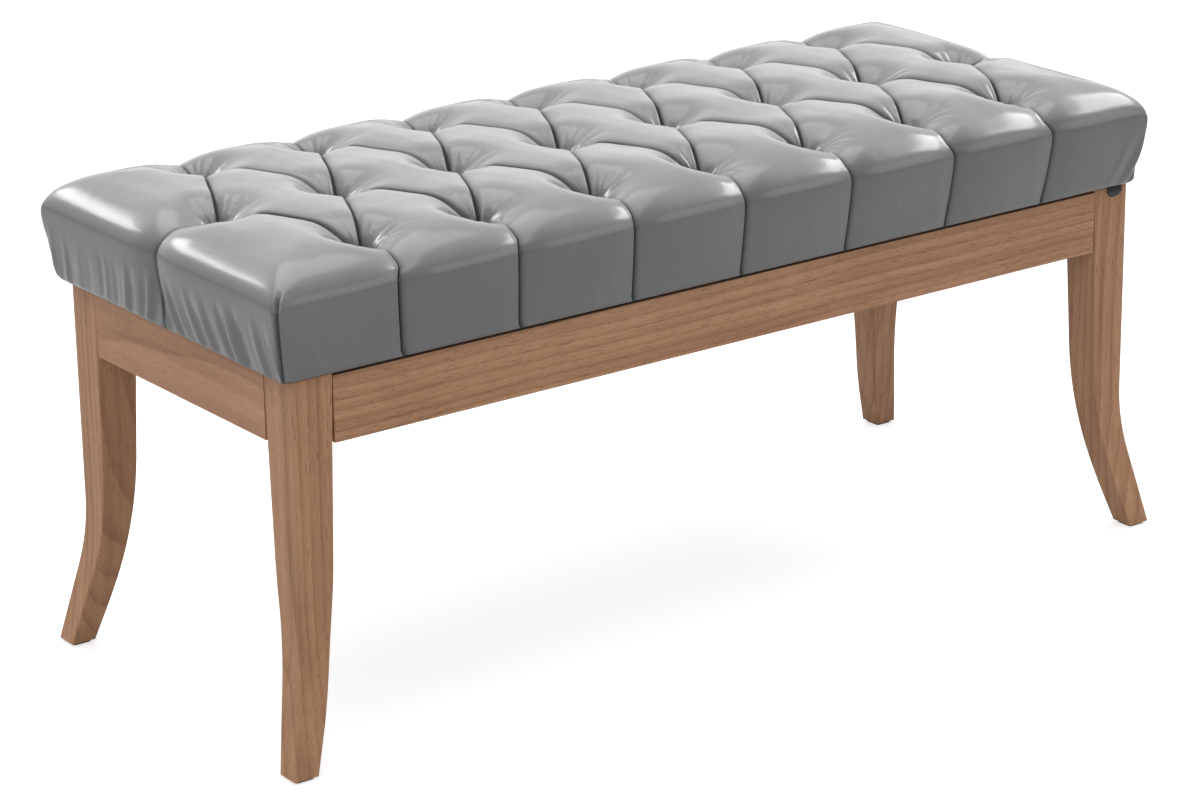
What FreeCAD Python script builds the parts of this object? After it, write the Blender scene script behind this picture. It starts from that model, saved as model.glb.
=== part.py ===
# Upholstered bench: a long seat pad with deep tufts on a wooden frame with four curved legs.
# The origin is on the floor under the middle of the bench, +Z is up and the front faces -Y.
import FreeCAD, Part
import math
import os
import Sketcher

Vector = FreeCAD.Vector
doc = FreeCAD.newDocument("tufted_bench")
sheet = doc.addObject("Spreadsheet::Sheet", "Sizes")

# Driving dimensions in millimetres, one cell each
DIMENSIONS = {
    # Wooden frame
    "frame_length": 952.0,
    "frame_width": 367.5,
    "leg_height": 350.0,
    "leg_size": 42.2,
    "foot_size": 24.6,
    "flare_length": 24.1,
    "flare_width": 21.0,
    "outer_bend_start": 144.0,
    "outer_bend_radius": 320.0,
    "inner_bend_start": 187.0,
    "inner_bend_taper": 5.6,
    "inner_bend_radius": 580.0,
    "edge_radius": 1.5,
    "apron_height": 59.4,
    "apron_thick": 22.0,
    "apron_drop": 2.0,
    "fit_gap": 0.1,
    # Feet
    "glide_thick": 2.5,
    "glide_inset": 3.0,
    "glide_corner": 3.0,
    "nail_diameter": 2.2,
    "nail_length": 15.0,
    "nail_head_diameter": 5.0,
    "nail_head_thick": 0.8,
    "nail_recess": 0.5,
    # Joints of the frame
    "dowel_diameter": 8.0,
    "dowel_length": 32.0,
    "dowel_spacing": 30.0,
    "block_reach": 77.0,
    "block_thick": 22.0,
    "block_height": 45.0,
    "bolt_diameter": 6.0,
    "bolt_length": 63.0,
    "bolt_depth": 26.0,
    "washer_diameter": 18.0,
    "washer_thick": 1.6,
    "nut_width": 10.0,
    "nut_thick": 5.0,
    "block_screw_diameter": 4.0,
    "block_screw_length": 25.0,
    "block_screw_head": 8.0,
    "block_screw_head_thick": 3.0,
    "block_screw_reach": 58.0,
    "block_screw_bore": 6.0,
    "seat_screw_diameter": 5.0,
    "seat_screw_length": 59.0,
    "seat_screw_head": 10.0,
    "seat_screw_head_thick": 3.5,
    "seat_screw_long": 44.0,
    "seat_screw_short": 18.0,
    "rail_thick": 22.0,
    "rail_screw_offset": 90.0,
    # Seat pad
    "dust_cover_thick": 0.6,
    "dust_cover_inset": 2.0,
    "staple_wire": 0.8,
    "staple_width": 10.0,
    "staple_leg": 6.5,
    "staple_inset": 24.0,
    "dust_staple_inset": 11.0,
    "cover_thick": 1.5,
    "cover_return": 36.0,
    "board_thick": 12.0,
    "board_corner": 16.0,
    "foam_gap": 0.3,
    "seat_shift": -3.0,
    "seat_height": 105.0,
    "seat_tuck": 2.5,
    "seat_tuck_height": 7.0,
    "seat_low_overhang": 8.5,
    "seat_top_overhang": 14.0,
    "seat_side_height": 72.0,
    "crown_run": 80.0,
    "seat_corner": 16.0,
    # Tufts and pleats
    "tuft_pitch": 121.4,
    "tuft_row": 132.2,
    "tuft_radius": 44.0,
    "tuft_floor": 4.0,
    "tuft_rise": 1.5,
    "pleat_radius": 50.0,
    "pleat_depth": 12.0,
    "side_pleat_radius": 60.0,
    "side_pleat_depth": 4.0,
    "edge_pleat_fall": 13.0,
    "twine_diameter": 1.8,
    "tie_bar_length": 6.0,
    "tie_knot_diameter": 3.6,
    "tie_knot_thick": 1.0,
    "tie_washer_diameter": 14.0,
    "tie_washer_thick": 1.0,
    # Gathered corner of the cloth under the seat
    "fold_width": 20.0,
    "fold_from_edge": 7.0,
    "fold_drop": 11.0,
    "fold_depth": 4.0,
}

ROWS = ("front", "middle", "back")
LONG_SIDE_STAPLES = 12
SHORT_SIDE_STAPLES = 4
TUFTS_IN_OUTER_ROWS = 7
# The pad's side: heights as shares of its tuck and of the way from there to its widest
HEEL_HEIGHT_SHARE = 0.45
HEEL_WIDTH_SHARE = 0.75
FLANK_SHARES = (0.25, 0.5, 0.75, 1.0)
# Turns round the quarter ellipse over it, in degrees, at which the pad has an outline
CROWN_TURNS = (18, 34, 48, 60, 70, 80, 90)
# How far round their arcs a tuft and a pleat reach, in degrees
TUFT_MOUTH = 80
PLEAT_MOUTH = 84
# The gathered corner's folds: widths as shares of its width, depths as shares of its depth
GATHERS = ((1.0, 0.7), (0.62, 1.0), (0.3, 0.8))
GATHER_TAPER = 0.75
GATHER_DROP = 1.15
GATHER_DROP_BY_DEPTH = 0.25
SIDES = (-1, 1)

for row_number, (alias, value) in enumerate(DIMENSIONS.items(), start=1):
    sheet.set(f"A{row_number}", alias)
    sheet.set(f"B{row_number}", str(value))
    sheet.setAlias(f"B{row_number}", alias)
doc.recompute()


def size(alias):
    """Give the number in the cell of that name."""
    return float(getattr(sheet, alias))


def bind(text):
    """Write the names of cells in an expression as the sheet's own."""
    words = []
    for word in text.split():
        words.append(f"Sizes.{word}" if word in DIMENSIONS else word)
    return " ".join(words)


def originPlane(body, role):
    for feature in body.Origin.OriginFeatures:
        if feature.Role == role:
            return feature
    raise ValueError(f"no plane {role}")


def addBody(name):
    body = doc.addObject("PartDesign::Body", name)
    body.Label = name
    return body


def addSketch(body, name, role):
    sketch = body.newObject("Sketcher::SketchObject", name)
    sketch.AttachmentSupport = (originPlane(body, role), [""])
    sketch.MapMode = "FlatFace"
    return sketch


def placePoint(sketch, geometry, end, across, up):
    """Bind one end of a line to its distances from the sketch's origin."""
    for kind, text in (("DistanceX", across), ("DistanceY", up)):
        index = sketch.addConstraint(Sketcher.Constraint(kind, -1, 1, geometry, end, 1.0))
        sketch.setExpression(f"Constraints[{index}]", bind(text))


def addPolygon(sketch, corners):
    """Draw a closed outline whose corners are pairs of expressions."""
    count = len(corners)
    start = sketch.GeometryCount
    for index in range(count):
        angles = [2 * math.pi * step / count for step in (index, index + 1)]
        ends = [Vector(math.cos(angle), math.sin(angle), 0) for angle in angles]
        sketch.addGeometry(Part.LineSegment(ends[0], ends[1]), False)
    for index in range(count):
        following = start + (index + 1) % count
        sketch.addConstraint(Sketcher.Constraint("Coincident", start + index, 2, following, 1))
    for index, (across, up) in enumerate(corners):
        placePoint(sketch, start + index, 1, across, up)


def addPad(body, name, sketch, length, midplane=False):
    pad = body.newObject("PartDesign::Pad", name)
    pad.Profile = sketch
    pad.setExpression("Length", bind(length))
    pad.Midplane = midplane
    return pad


def addPeg(name, diameter, length, start, direction):
    """Add a round bar from its start point, given as three expressions, along a direction."""
    peg = doc.addObject("Part::Cylinder", name)
    peg.Placement = FreeCAD.Placement(Vector(), FreeCAD.Rotation(Vector(0, 0, 1), direction))
    peg.setExpression("Radius", bind(f"( {diameter} ) / 2"))
    peg.setExpression("Height", bind(length))
    for axis, text in zip("xyz", start):
        peg.setExpression(f"Placement.Base.{axis}", bind(text))
    return peg


def addBlock(name, lengths, corner):
    """Add a box by three lengths and its lowest corner, all given as expressions."""
    block = doc.addObject("Part::Box", name)
    for side, text in zip(("Length", "Width", "Height"), lengths):
        block.setExpression(side, bind(text))
    for axis, text in zip("xyz", corner):
        block.setExpression(f"Placement.Base.{axis}", bind(text))
    return block


def addGroup(name, members):
    group = doc.addObject("Part::Compound", name)
    group.Label = name
    group.Links = members
    return group


def addCut(name, base, tools):
    cut = doc.addObject("Part::Cut", name)
    cut.Label = name
    cut.Base = base
    cut.Tool = addGroup(f"{name}_holes", tools)
    return cut


def addShape(name, shape):
    feature = doc.addObject("Part::Feature", name)
    feature.Label = name
    feature.Shape = shape
    feature.Placement = FreeCAD.Placement()
    return feature


# Legs

def legOutline(sketch, side, half, flare):
    """Draw one leg's side view: straight above, tapered, and curved outwards below the knee."""
    top = size("leg_height")
    foot = size("glide_thick")
    outer = size(half) / 2
    toe = outer + size(flare)
    heel = toe - size("foot_size")
    upper = outer - size("leg_size")
    taper = upper + size("inner_bend_taper")
    outerBend = size("outer_bend_start")
    innerBend = size("inner_bend_start")
    # The ends of the two arcs start from a first guess and move to where the radii put them
    outerKneeOut, outerKneeShare = 3, 1 / 2
    innerKneeIn, innerKneeShare = 10, 1 / 6
    outerBow, innerBow = [Vector(side * -deep, 0, 0) for deep in (1, 4)]
    corner = [
        Vector(side * outer, top, 0),
        Vector(side * outer, outerBend, 0),
        Vector(side * (outer + outerKneeOut), outerBend * outerKneeShare, 0),
        Vector(side * toe, foot, 0),
        Vector(side * heel, foot, 0),
        Vector(side * (heel - innerKneeIn), innerBend * innerKneeShare, 0),
        Vector(side * taper, innerBend, 0),
        Vector(side * upper, top, 0),
    ]
    sketch.addGeometry(Part.LineSegment(corner[0], corner[1]), False)
    outerMiddle = (corner[1] + corner[2]) / 2 + outerBow
    sketch.addGeometry(Part.Arc(corner[1], outerMiddle, corner[2]), False)
    sketch.addGeometry(Part.LineSegment(corner[2], corner[3]), False)
    sketch.addGeometry(Part.LineSegment(corner[3], corner[4]), False)
    sketch.addGeometry(Part.LineSegment(corner[4], corner[5]), False)
    innerMiddle = (corner[5] + corner[6]) / 2 + innerBow
    sketch.addGeometry(Part.Arc(corner[5], innerMiddle, corner[6]), False)
    sketch.addGeometry(Part.LineSegment(corner[6], corner[7]), False)
    sketch.addGeometry(Part.LineSegment(corner[7], corner[0]), False)
    firstEnd = {}
    for arc, start in ((1, corner[1]), (5, corner[5])):
        near = (sketch.getPoint(arc, 1) - start).Length < 0.001
        firstEnd[arc] = (1, 2) if near else (2, 1)
    joints = [
        ("Tangent", 0, 2, 1, firstEnd[1][0]),
        ("Tangent", 1, firstEnd[1][1], 2, 1),
        ("Coincident", 2, 2, 3, 1),
        ("Coincident", 3, 2, 4, 1),
        ("Tangent", 4, 2, 5, firstEnd[5][0]),
        ("Tangent", 5, firstEnd[5][1], 6, 1),
        ("Coincident", 6, 2, 7, 1),
        ("Coincident", 7, 2, 0, 1),
    ]
    for joint in joints:
        sketch.addConstraint(Sketcher.Constraint(*joint))
    edge = f"{side} * {half} / 2"
    numbers = [
        ("DistanceX", -1, 1, 0, 1, corner[0].x, edge),
        ("DistanceY", -1, 1, 0, 1, top, "leg_height"),
        ("DistanceX", -1, 1, 0, 2, corner[1].x, edge),
        ("DistanceY", -1, 1, 0, 2, outerBend, "outer_bend_start"),
        ("Radius", 1, None, None, None, size("outer_bend_radius"), "outer_bend_radius"),
        ("DistanceX", -1, 1, 3, 1, corner[3].x, f"{side} * ( {half} / 2 + {flare} )"),
        ("DistanceY", -1, 1, 3, 1, foot, "glide_thick"),
        ("DistanceX", -1, 1, 3, 2, corner[4].x, f"{side} * ( {half} / 2 + {flare} - foot_size )"),
        ("DistanceY", -1, 1, 3, 2, foot, "glide_thick"),
        ("Radius", 5, None, None, None, size("inner_bend_radius"), "inner_bend_radius"),
        ("DistanceX", -1, 1, 6, 1, corner[6].x,
         f"{side} * ( {half} / 2 - leg_size + inner_bend_taper )"),
        ("DistanceY", -1, 1, 6, 1, innerBend, "inner_bend_start"),
        ("DistanceX", -1, 1, 7, 1, corner[7].x, f"{side} * ( {half} / 2 - leg_size )"),
        ("DistanceY", -1, 1, 7, 1, top, "leg_height"),
    ]
    for kind, first, firstPoint, second, secondPoint, value, text in numbers:
        if kind == "Radius":
            constraint = Sketcher.Constraint(kind, first, value)
        else:
            constraint = Sketcher.Constraint(kind, first, firstPoint, second, secondPoint, value)
        index = sketch.addConstraint(constraint)
        sketch.setExpression(f"Constraints[{index}]", bind(text))


def makeLeg(name, sideX, sideY):
    body = addBody(f"{name}_blank")
    front = addSketch(body, f"{name}_front_view", "XZ_Plane")
    legOutline(front, sideX, "frame_length", "flare_length")
    pad = addPad(body, f"{name}_pad", front, "2 * ( frame_width + flare_width )", midplane=True)
    side = addSketch(body, f"{name}_side_view", "YZ_Plane")
    legOutline(side, sideY, "frame_width", "flare_width")
    addPolygon(side, [
        ("-2 * frame_width", "-1 * leg_size"),
        ("2 * frame_width", "-1 * leg_size"),
        ("2 * frame_width", "leg_height + leg_size"),
        ("-2 * frame_width", "leg_height + leg_size"),
    ])
    doc.recompute()
    whole = pad.Shape.Volume
    pocket = body.newObject("PartDesign::Pocket", f"{name}_pocket")
    pocket.Profile = side
    pocket.Type = "ThroughAll"
    pocket.Midplane = True
    doc.recompute()
    if pocket.Shape.Volume > 0.5 * whole:
        raise RuntimeError(f"{name}: the side view cut nothing away")
    fillet = body.newObject("PartDesign::Fillet", f"{name}_eased_edges")
    upright = [
        f"Edge{index}" for index, edge in enumerate(pocket.Shape.Edges, start=1)
        if edge.BoundBox.ZLength > size("leg_size") / 2
    ]
    fillet.Base = (pocket, upright)
    fillet.setExpression("Radius", bind("edge_radius"))
    body.Tip = fillet
    doc.recompute()
    return body


def legHoles(name, sideX, sideY):
    """Give the tools that bore one leg for its dowels, its bolt and its nail."""
    return (
        dowels(f"{name}_bore", "dowel_diameter + 2 * fit_gap", "fit_gap", sideX, sideY)
        + [hangerBolt(f"{name}_bolt_bore", "bolt_diameter + 2 * fit_gap", "fit_gap", sideX, sideY)]
        + [nailShank(f"{name}_nail_bore", "nail_diameter + 2 * fit_gap", "fit_gap", sideX, sideY)]
    )


def dowels(name, diameter, extra, sideX, sideY):
    """Place two dowels from each apron into one leg, level with the aprons' middle."""
    pegs = []
    middle = "( leg_height - apron_drop - apron_height / 2 )"
    for step in SIDES:
        level = f"{middle} + {step} * dowel_spacing / 2"
        pegs.append(addPeg(
            f"{name}_long_{step + 2}", diameter, f"dowel_length + 2 * {extra}",
            (
                f"{sideX} * ( frame_length / 2 - leg_size + dowel_length / 2 + {extra} )",
                f"{sideY} * ( frame_width / 2 - apron_thick / 2 )",
                level,
            ),
            Vector(-sideX, 0, 0),
        ))
        pegs.append(addPeg(
            f"{name}_short_{step + 2}", diameter, f"dowel_length + 2 * {extra}",
            (
                f"{sideX} * ( frame_length / 2 - apron_thick / 2 )",
                f"{sideY} * ( frame_width / 2 - leg_size + dowel_length / 2 + {extra} )",
                level,
            ),
            Vector(0, -sideY, 0),
        ))
    return pegs


BOLT_LEVEL = "( leg_height - apron_drop - block_height / 2 )"
DIAGONAL = "sqrt(0.5)"


def alongDiagonal(sideX, sideY, distance):
    """Give a point at a distance inwards from a leg's inner corner, on the diagonal."""
    return (
        f"{sideX} * ( frame_length / 2 - leg_size - ( {distance} ) * {DIAGONAL} )",
        f"{sideY} * ( frame_width / 2 - leg_size - ( {distance} ) * {DIAGONAL} )",
        BOLT_LEVEL,
    )


# Distance on the diagonal from a leg's inner corner to the corner block's far face
BLOCK_FACE = f"( block_reach - 2 * ( leg_size - apron_thick ) ) * {DIAGONAL}"


def hangerBolt(name, diameter, extra, sideX, sideY):
    return addPeg(
        name, diameter, f"bolt_length + 2 * {extra}",
        alongDiagonal(sideX, sideY, f"-1 * bolt_depth - {extra}"),
        Vector(-sideX, -sideY, 0),
    )


def addNut(name, sideX, sideY):
    """Add a hexagonal nut with its hole, tight against the washer."""
    body = addBody(f"{name}_blank")
    sketch = addSketch(body, f"{name}_outline", "XY_Plane")
    addPolygon(sketch, [
        (f"nut_width / sqrt(3) * {math.cos(math.radians(angle)):.6f}",
         f"nut_width / sqrt(3) * {math.sin(math.radians(angle)):.6f}")
        for angle in range(0, 360, 60)
    ])
    addPad(body, f"{name}_pad", sketch, "nut_thick")
    body.Placement = FreeCAD.Placement(
        Vector(), FreeCAD.Rotation(Vector(0, 0, 1), Vector(-sideX, -sideY, 0))
    )
    point = alongDiagonal(sideX, sideY, f"{BLOCK_FACE} + washer_thick")
    for axis, text in zip("xyz", point):
        body.setExpression(f"Placement.Base.{axis}", bind(text))
    return body


def makeBoltSet():
    """Make the four hanger bolts, and the washers and nuts that pull the legs tight."""
    bolts, washers, nuts = [], [], []
    for sideX in SIDES:
        for sideY in SIDES:
            tag = f"{sideX + 2}_{sideY + 2}"
            bolts.append(hangerBolt(f"bolt_{tag}", "bolt_diameter", "0", sideX, sideY))
            start = alongDiagonal(sideX, sideY, BLOCK_FACE)
            inward = Vector(-sideX, -sideY, 0)
            disc = addPeg(f"washer_disc_{tag}", "washer_diameter", "washer_thick", start, inward)
            bore = hangerBolt(f"bolt_way_{tag}", "bolt_diameter + 2 * fit_gap", "0", sideX, sideY)
            washer = doc.addObject("Part::Cut", f"washer_{tag}")
            washer.Base = disc
            washer.Tool = bore
            washers.append(washer)
            nutBore = hangerBolt(f"nut_way_{tag}", "bolt_diameter + 2 * fit_gap", "0", sideX, sideY)
            nut = doc.addObject("Part::Cut", f"nut_{tag}")
            nut.Base = addNut(f"nut_body_{tag}", sideX, sideY)
            nut.Tool = nutBore
            nuts.append(nut)
    return [
        addGroup("hanger_bolts", bolts),
        addGroup("bolt_washers", washers),
        addGroup("bolt_nuts", nuts),
    ]


# Feet

FOOT_X = "( frame_length / 2 + flare_length - foot_size / 2 )"
FOOT_Y = "( frame_width / 2 + flare_width - foot_size / 2 )"


def nailShank(name, diameter, extra, sideX, sideY):
    return addPeg(
        name, diameter, f"nail_length + {extra}",
        (f"{sideX} * {FOOT_X}", f"{sideY} * {FOOT_Y}", "nail_recess"),
        Vector(0, 0, 1),
    )


def makeGlides():
    """Make the plastic glide under each foot, held by one nail whose head is sunk."""
    glides, nails = [], []
    for sideX in SIDES:
        for sideY in SIDES:
            tag = f"{sideX + 2}_{sideY + 2}"
            pad = addBlock(
                f"glide_pad_{tag}",
                ("foot_size - 2 * glide_inset", "foot_size - 2 * glide_inset", "glide_thick"),
                (
                    f"{sideX} * {FOOT_X} - foot_size / 2 + glide_inset",
                    f"{sideY} * {FOOT_Y} - foot_size / 2 + glide_inset",
                    "0",
                ),
            )
            doc.recompute()
            rounded = doc.addObject("Part::Fillet", f"glide_round_{tag}")
            rounded.Base = pad
            rounded.Edges = [
                (index, size("glide_corner"), size("glide_corner"))
                for index, edge in enumerate(pad.Shape.Edges, start=1)
                if edge.BoundBox.ZLength > size("glide_thick") / 2
            ]
            place = (f"{sideX} * {FOOT_X}", f"{sideY} * {FOOT_Y}")
            sink = addPeg(
                f"glide_sink_{tag}", "nail_head_diameter + 2 * fit_gap",
                "nail_recess + nail_head_thick", place + ("0",), Vector(0, 0, 1),
            )
            shankWay = nailShank(
                f"glide_way_{tag}", "nail_diameter + 2 * fit_gap", "0", sideX, sideY
            )
            glide = doc.addObject("Part::Cut", f"glide_{tag}")
            glide.Base = rounded
            glide.Tool = addGroup(f"glide_holes_{tag}", [sink, shankWay])
            glides.append(glide)
            head = addPeg(
                f"nail_head_{tag}", "nail_head_diameter", "nail_head_thick",
                place + ("nail_recess",), Vector(0, 0, 1),
            )
            shank = nailShank(f"nail_shank_{tag}", "nail_diameter", "0", sideX, sideY)
            nail = doc.addObject("Part::MultiFuse", f"nail_{tag}")
            nail.Shapes = [head, shank]
            nails.append(nail)
    return [addGroup("foot_glides", glides), addGroup("glide_nails", nails)]


# Aprons, corner blocks and the middle rail

APRON_BASE = "( leg_height - apron_drop - apron_height )"
BLOCK_BASE = "( leg_height - apron_drop - block_height )"


def makeAprons():
    aprons = []
    for name, side in (("apron_front", -1), ("apron_back", 1)):
        board = addBlock(
            f"{name}_board",
            ("frame_length - 2 * leg_size", "apron_thick", "apron_height"),
            (
                "leg_size - frame_length / 2",
                f"{side} * ( frame_width / 2 - apron_thick / 2 ) - apron_thick / 2",
                APRON_BASE,
            ),
        )
        holes = []
        for sideX in SIDES:
            tag = f"{name}_{sideX + 2}"
            bores = dowels(f"{tag}_bore", "dowel_diameter + 2 * fit_gap", "fit_gap", sideX, side)
            holes.extend(bores[0::2])
            for spare in bores[1::2]:
                doc.removeObject(spare.Name)
            holes.append(blockScrew(f"{tag}_screw_way", "bore", sideX, side, "y"))
        holes.extend(railDowels(f"{name}_rail", "dowel_diameter + 2 * fit_gap", "fit_gap", side))
        aprons.append(addCut(name, board, holes))
    for name, side in (("apron_left", -1), ("apron_right", 1)):
        board = addBlock(
            f"{name}_board",
            ("apron_thick", "frame_width - 2 * leg_size", "apron_height"),
            (
                f"{side} * ( frame_length / 2 - apron_thick / 2 ) - apron_thick / 2",
                "leg_size - frame_width / 2",
                APRON_BASE,
            ),
        )
        holes = []
        for sideY in SIDES:
            tag = f"{name}_{sideY + 2}"
            bores = dowels(f"{tag}_bore", "dowel_diameter + 2 * fit_gap", "fit_gap", side, sideY)
            holes.extend(bores[1::2])
            for spare in bores[0::2]:
                doc.removeObject(spare.Name)
            holes.append(blockScrew(f"{tag}_screw_way", "bore", side, sideY, "x"))
        aprons.append(addCut(name, board, holes))
    return aprons


def fromApronCorner(sideX, sideY, alongX, alongY):
    """Give a plan point by its distances from the corner where the aprons' inner faces meet."""
    return (
        f"{sideX} * ( frame_length / 2 - apron_thick - ( {alongX} ) )",
        f"{sideY} * ( frame_width / 2 - apron_thick - ( {alongY} ) )",
    )


def blockScrew(name, part, sideX, sideY, axis):
    """Add one screw that holds a corner block to an apron, its head or the bore for either."""
    near = "block_screw_reach"
    face = "( block_reach - block_screw_reach - block_screw_bore )"
    level = (BOLT_LEVEL,)
    direction = Vector(0, sideY, 0) if axis == "y" else Vector(sideX, 0, 0)

    def point(depth):
        along = (near, depth) if axis == "y" else (depth, near)
        return fromApronCorner(sideX, sideY, *along) + level

    if part == "shank":
        return addPeg(name, "block_screw_diameter", "block_screw_length", point(face), direction)
    if part == "bore":
        return addPeg(
            name, "block_screw_diameter + 2 * fit_gap", "block_screw_length + fit_gap",
            point(face), direction,
        )
    if part == "head":
        start = f"{face} + block_screw_head_thick"
        return addPeg(name, "block_screw_head", "block_screw_head_thick", point(start), direction)
    start = f"{face} + block_reach / 2"
    return addPeg(name, "block_screw_head + 2 * fit_gap", "block_reach / 2", point(start), direction)


def makeBlocks():
    """Make the four corner blocks and the screws that hold them to the aprons."""
    blocks, screws = [], []
    inner = "( block_reach - block_thick * sqrt(2) )"
    for name, sideX, sideY in (
        ("corner_block_front_left", -1, -1),
        ("corner_block_front_right", 1, -1),
        ("corner_block_back_left", -1, 1),
        ("corner_block_back_right", 1, 1),
    ):
        body = addBody(f"{name}_blank")
        sketch = addSketch(body, f"{name}_plan", "XY_Plane")
        addPolygon(sketch, [
            fromApronCorner(sideX, sideY, inner, "0"),
            fromApronCorner(sideX, sideY, "block_reach", "0"),
            fromApronCorner(sideX, sideY, "0", "block_reach"),
            fromApronCorner(sideX, sideY, "0", inner),
        ])
        addPad(body, f"{name}_pad", sketch, "block_height")
        body.setExpression("Placement.Base.z", bind(BLOCK_BASE))
        holes = [hangerBolt(f"{name}_bolt_way", "bolt_diameter + 2 * fit_gap", "0", sideX, sideY)]
        place = fromApronCorner(sideX, sideY, "seat_screw_long", "seat_screw_short")
        holes.append(seatScrew(f"{name}_seat_way", "bore", place))
        for axis in ("x", "y"):
            for part in ("bore", "sink"):
                holes.append(blockScrew(f"{name}_{axis}_{part}", part, sideX, sideY, axis))
            pieces = [
                blockScrew(f"{name}_{axis}_{part}", part, sideX, sideY, axis)
                for part in ("head", "shank")
            ]
            screw = doc.addObject("Part::MultiFuse", f"{name}_{axis}_screw")
            screw.Shapes = pieces
            screws.append(screw)
        blocks.append(addCut(name, body, holes))
    return blocks + [addGroup("corner_block_screws", screws)]


def railDowels(name, diameter, extra, side):
    """Place two dowels from the front or back apron into the middle rail."""
    return [
        addPeg(
            f"{name}_{step + 2}", diameter, f"apron_thick + 2 * {extra}",
            (
                "0",
                f"{side} * ( frame_width / 2 - apron_thick / 2 + {extra} )",
                f"{BOLT_LEVEL} + {step} * dowel_diameter",
            ),
            Vector(0, -side, 0),
        )
        for step in SIDES
    ]


def makeRail():
    rail = addBlock(
        "middle_rail_board",
        ("rail_thick", "frame_width - 2 * apron_thick", "block_height"),
        ("-1 * rail_thick / 2", "apron_thick - frame_width / 2", BLOCK_BASE),
    )
    holes = []
    for side in SIDES:
        holes.extend(railDowels(f"rail_bore_{side + 2}", "dowel_diameter + 2 * fit_gap", "fit_gap",
                                side))
        place = ("0", f"{side} * rail_screw_offset")
        holes.append(seatScrew(f"rail_seat_way_{side + 2}", "bore", place))
    return [addCut("middle_rail", rail, holes)]


def makeDowels():
    pegs = []
    for sideX in SIDES:
        for sideY in SIDES:
            pegs.extend(dowels(f"dowel_{sideX + 2}_{sideY + 2}", "dowel_diameter", "0",
                               sideX, sideY))
    for side in SIDES:
        pegs.extend(railDowels(f"rail_dowel_{side + 2}", "dowel_diameter", "0", side))
    return [addGroup("frame_dowels", pegs)]


# Screws that hold the seat to the frame

def seatScrewPlaces():
    places = [
        fromApronCorner(sideX, sideY, "seat_screw_long", "seat_screw_short")
        for sideX in SIDES for sideY in SIDES
    ]
    return places + [("0", f"{side} * rail_screw_offset") for side in SIDES]


def seatScrew(name, part, place):
    base = (BLOCK_BASE,)
    up = Vector(0, 0, 1)
    if part == "head":
        below = (f"{BLOCK_BASE} - seat_screw_head_thick",)
        return addPeg(name, "seat_screw_head", "seat_screw_head_thick", place + below, up)
    gap = "+ 2 * fit_gap" if part == "bore" else ""
    end = "+ fit_gap" if part == "bore" else ""
    return addPeg(name, f"seat_screw_diameter {gap}", f"seat_screw_length {end}", place + base, up)


def makeSeatScrews():
    screws = []
    for index, place in enumerate(seatScrewPlaces()):
        pieces = [seatScrew(f"seat_screw_{index}_{part}", part, place) for part in ("head", "shank")]
        screw = doc.addObject("Part::MultiFuse", f"seat_screw_{index}")
        screw.Shapes = pieces
        screws.append(screw)
    return [addGroup("seat_screws", screws)]


# Seat pad, from the cloth underneath to the crown

def seatLevels():
    """Give the heights of the layers under the foam, from the cloth under the seat upwards."""
    levels = {"cloth": size("leg_height")}
    levels["staples"] = levels["cloth"] + size("dust_cover_thick")
    levels["cover"] = levels["staples"] + size("staple_wire")
    levels["board"] = levels["cover"] + size("cover_thick")
    levels["foam"] = levels["board"] + size("board_thick")
    levels["crown"] = levels["cover"] + size("seat_height")
    return levels


def roundedOutline(length, width, radius, level):
    """Draw a level rectangle with rounded corners, as four lines and four quarter arcs."""
    halfLength, halfWidth = length / 2, width / 2
    bulge = radius * (1 - math.sqrt(0.5))
    shift = size("seat_shift")
    edges = []
    ends = []
    for turnX, turnY in ((1, -1), (1, 1), (-1, 1), (-1, -1)):
        along = Vector(turnX * (halfLength - radius) + shift, turnY * halfWidth, level)
        across = Vector(turnX * halfLength + shift, turnY * (halfWidth - radius), level)
        middle = Vector(
            turnX * (halfLength - bulge) + shift, turnY * (halfWidth - bulge), level
        )
        first, last = (along, across) if turnX * turnY < 0 else (across, along)
        ends.append((first, middle, last))
    for index, (first, middle, last) in enumerate(ends):
        edges.append(Part.Arc(first, middle, last).toShape())
        edges.append(Part.LineSegment(last, ends[(index + 1) % 4][0]).toShape())
    return Part.Wire(edges)


def seatOutlines():
    """List the pad's outlines as heights over its base and overhangs past the frame."""
    side = size("seat_side_height")
    tuck = size("seat_tuck_height")
    low = size("seat_low_overhang")
    top = size("seat_top_overhang")
    outlines = [
        (0.0, size("seat_tuck")),
        (HEEL_HEIGHT_SHARE * tuck, HEEL_WIDTH_SHARE * low),
        (tuck, low),
    ]
    for share in FLANK_SHARES:
        outlines.append((tuck + share * (side - tuck), low + share * (top - low)))
    rise = size("seat_height") - side
    for degrees in CROWN_TURNS:
        angle = math.radians(degrees)
        outlines.append((
            side + rise * math.sin(angle),
            top - size("crown_run") * (1 - math.cos(angle)),
        ))
    return outlines


def seatForm(inset):
    """Loft the pad's outside, or a form that lies inside it by an even wall."""
    base = seatLevels()["cover"]
    side = size("seat_side_height")
    rise = size("seat_height") - side
    wires = []
    for height, overhang in seatOutlines():
        drop = inset * max(0.0, height - side) / rise
        raised = inset if height == 0 else 0.0
        reach = 2 * (overhang - inset)
        wires.append(roundedOutline(
            size("frame_length") + reach,
            size("frame_width") + reach,
            size("seat_corner") - inset,
            base + height + raised - drop,
        ))
    return Part.makeLoft(wires, True, False)


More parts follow.
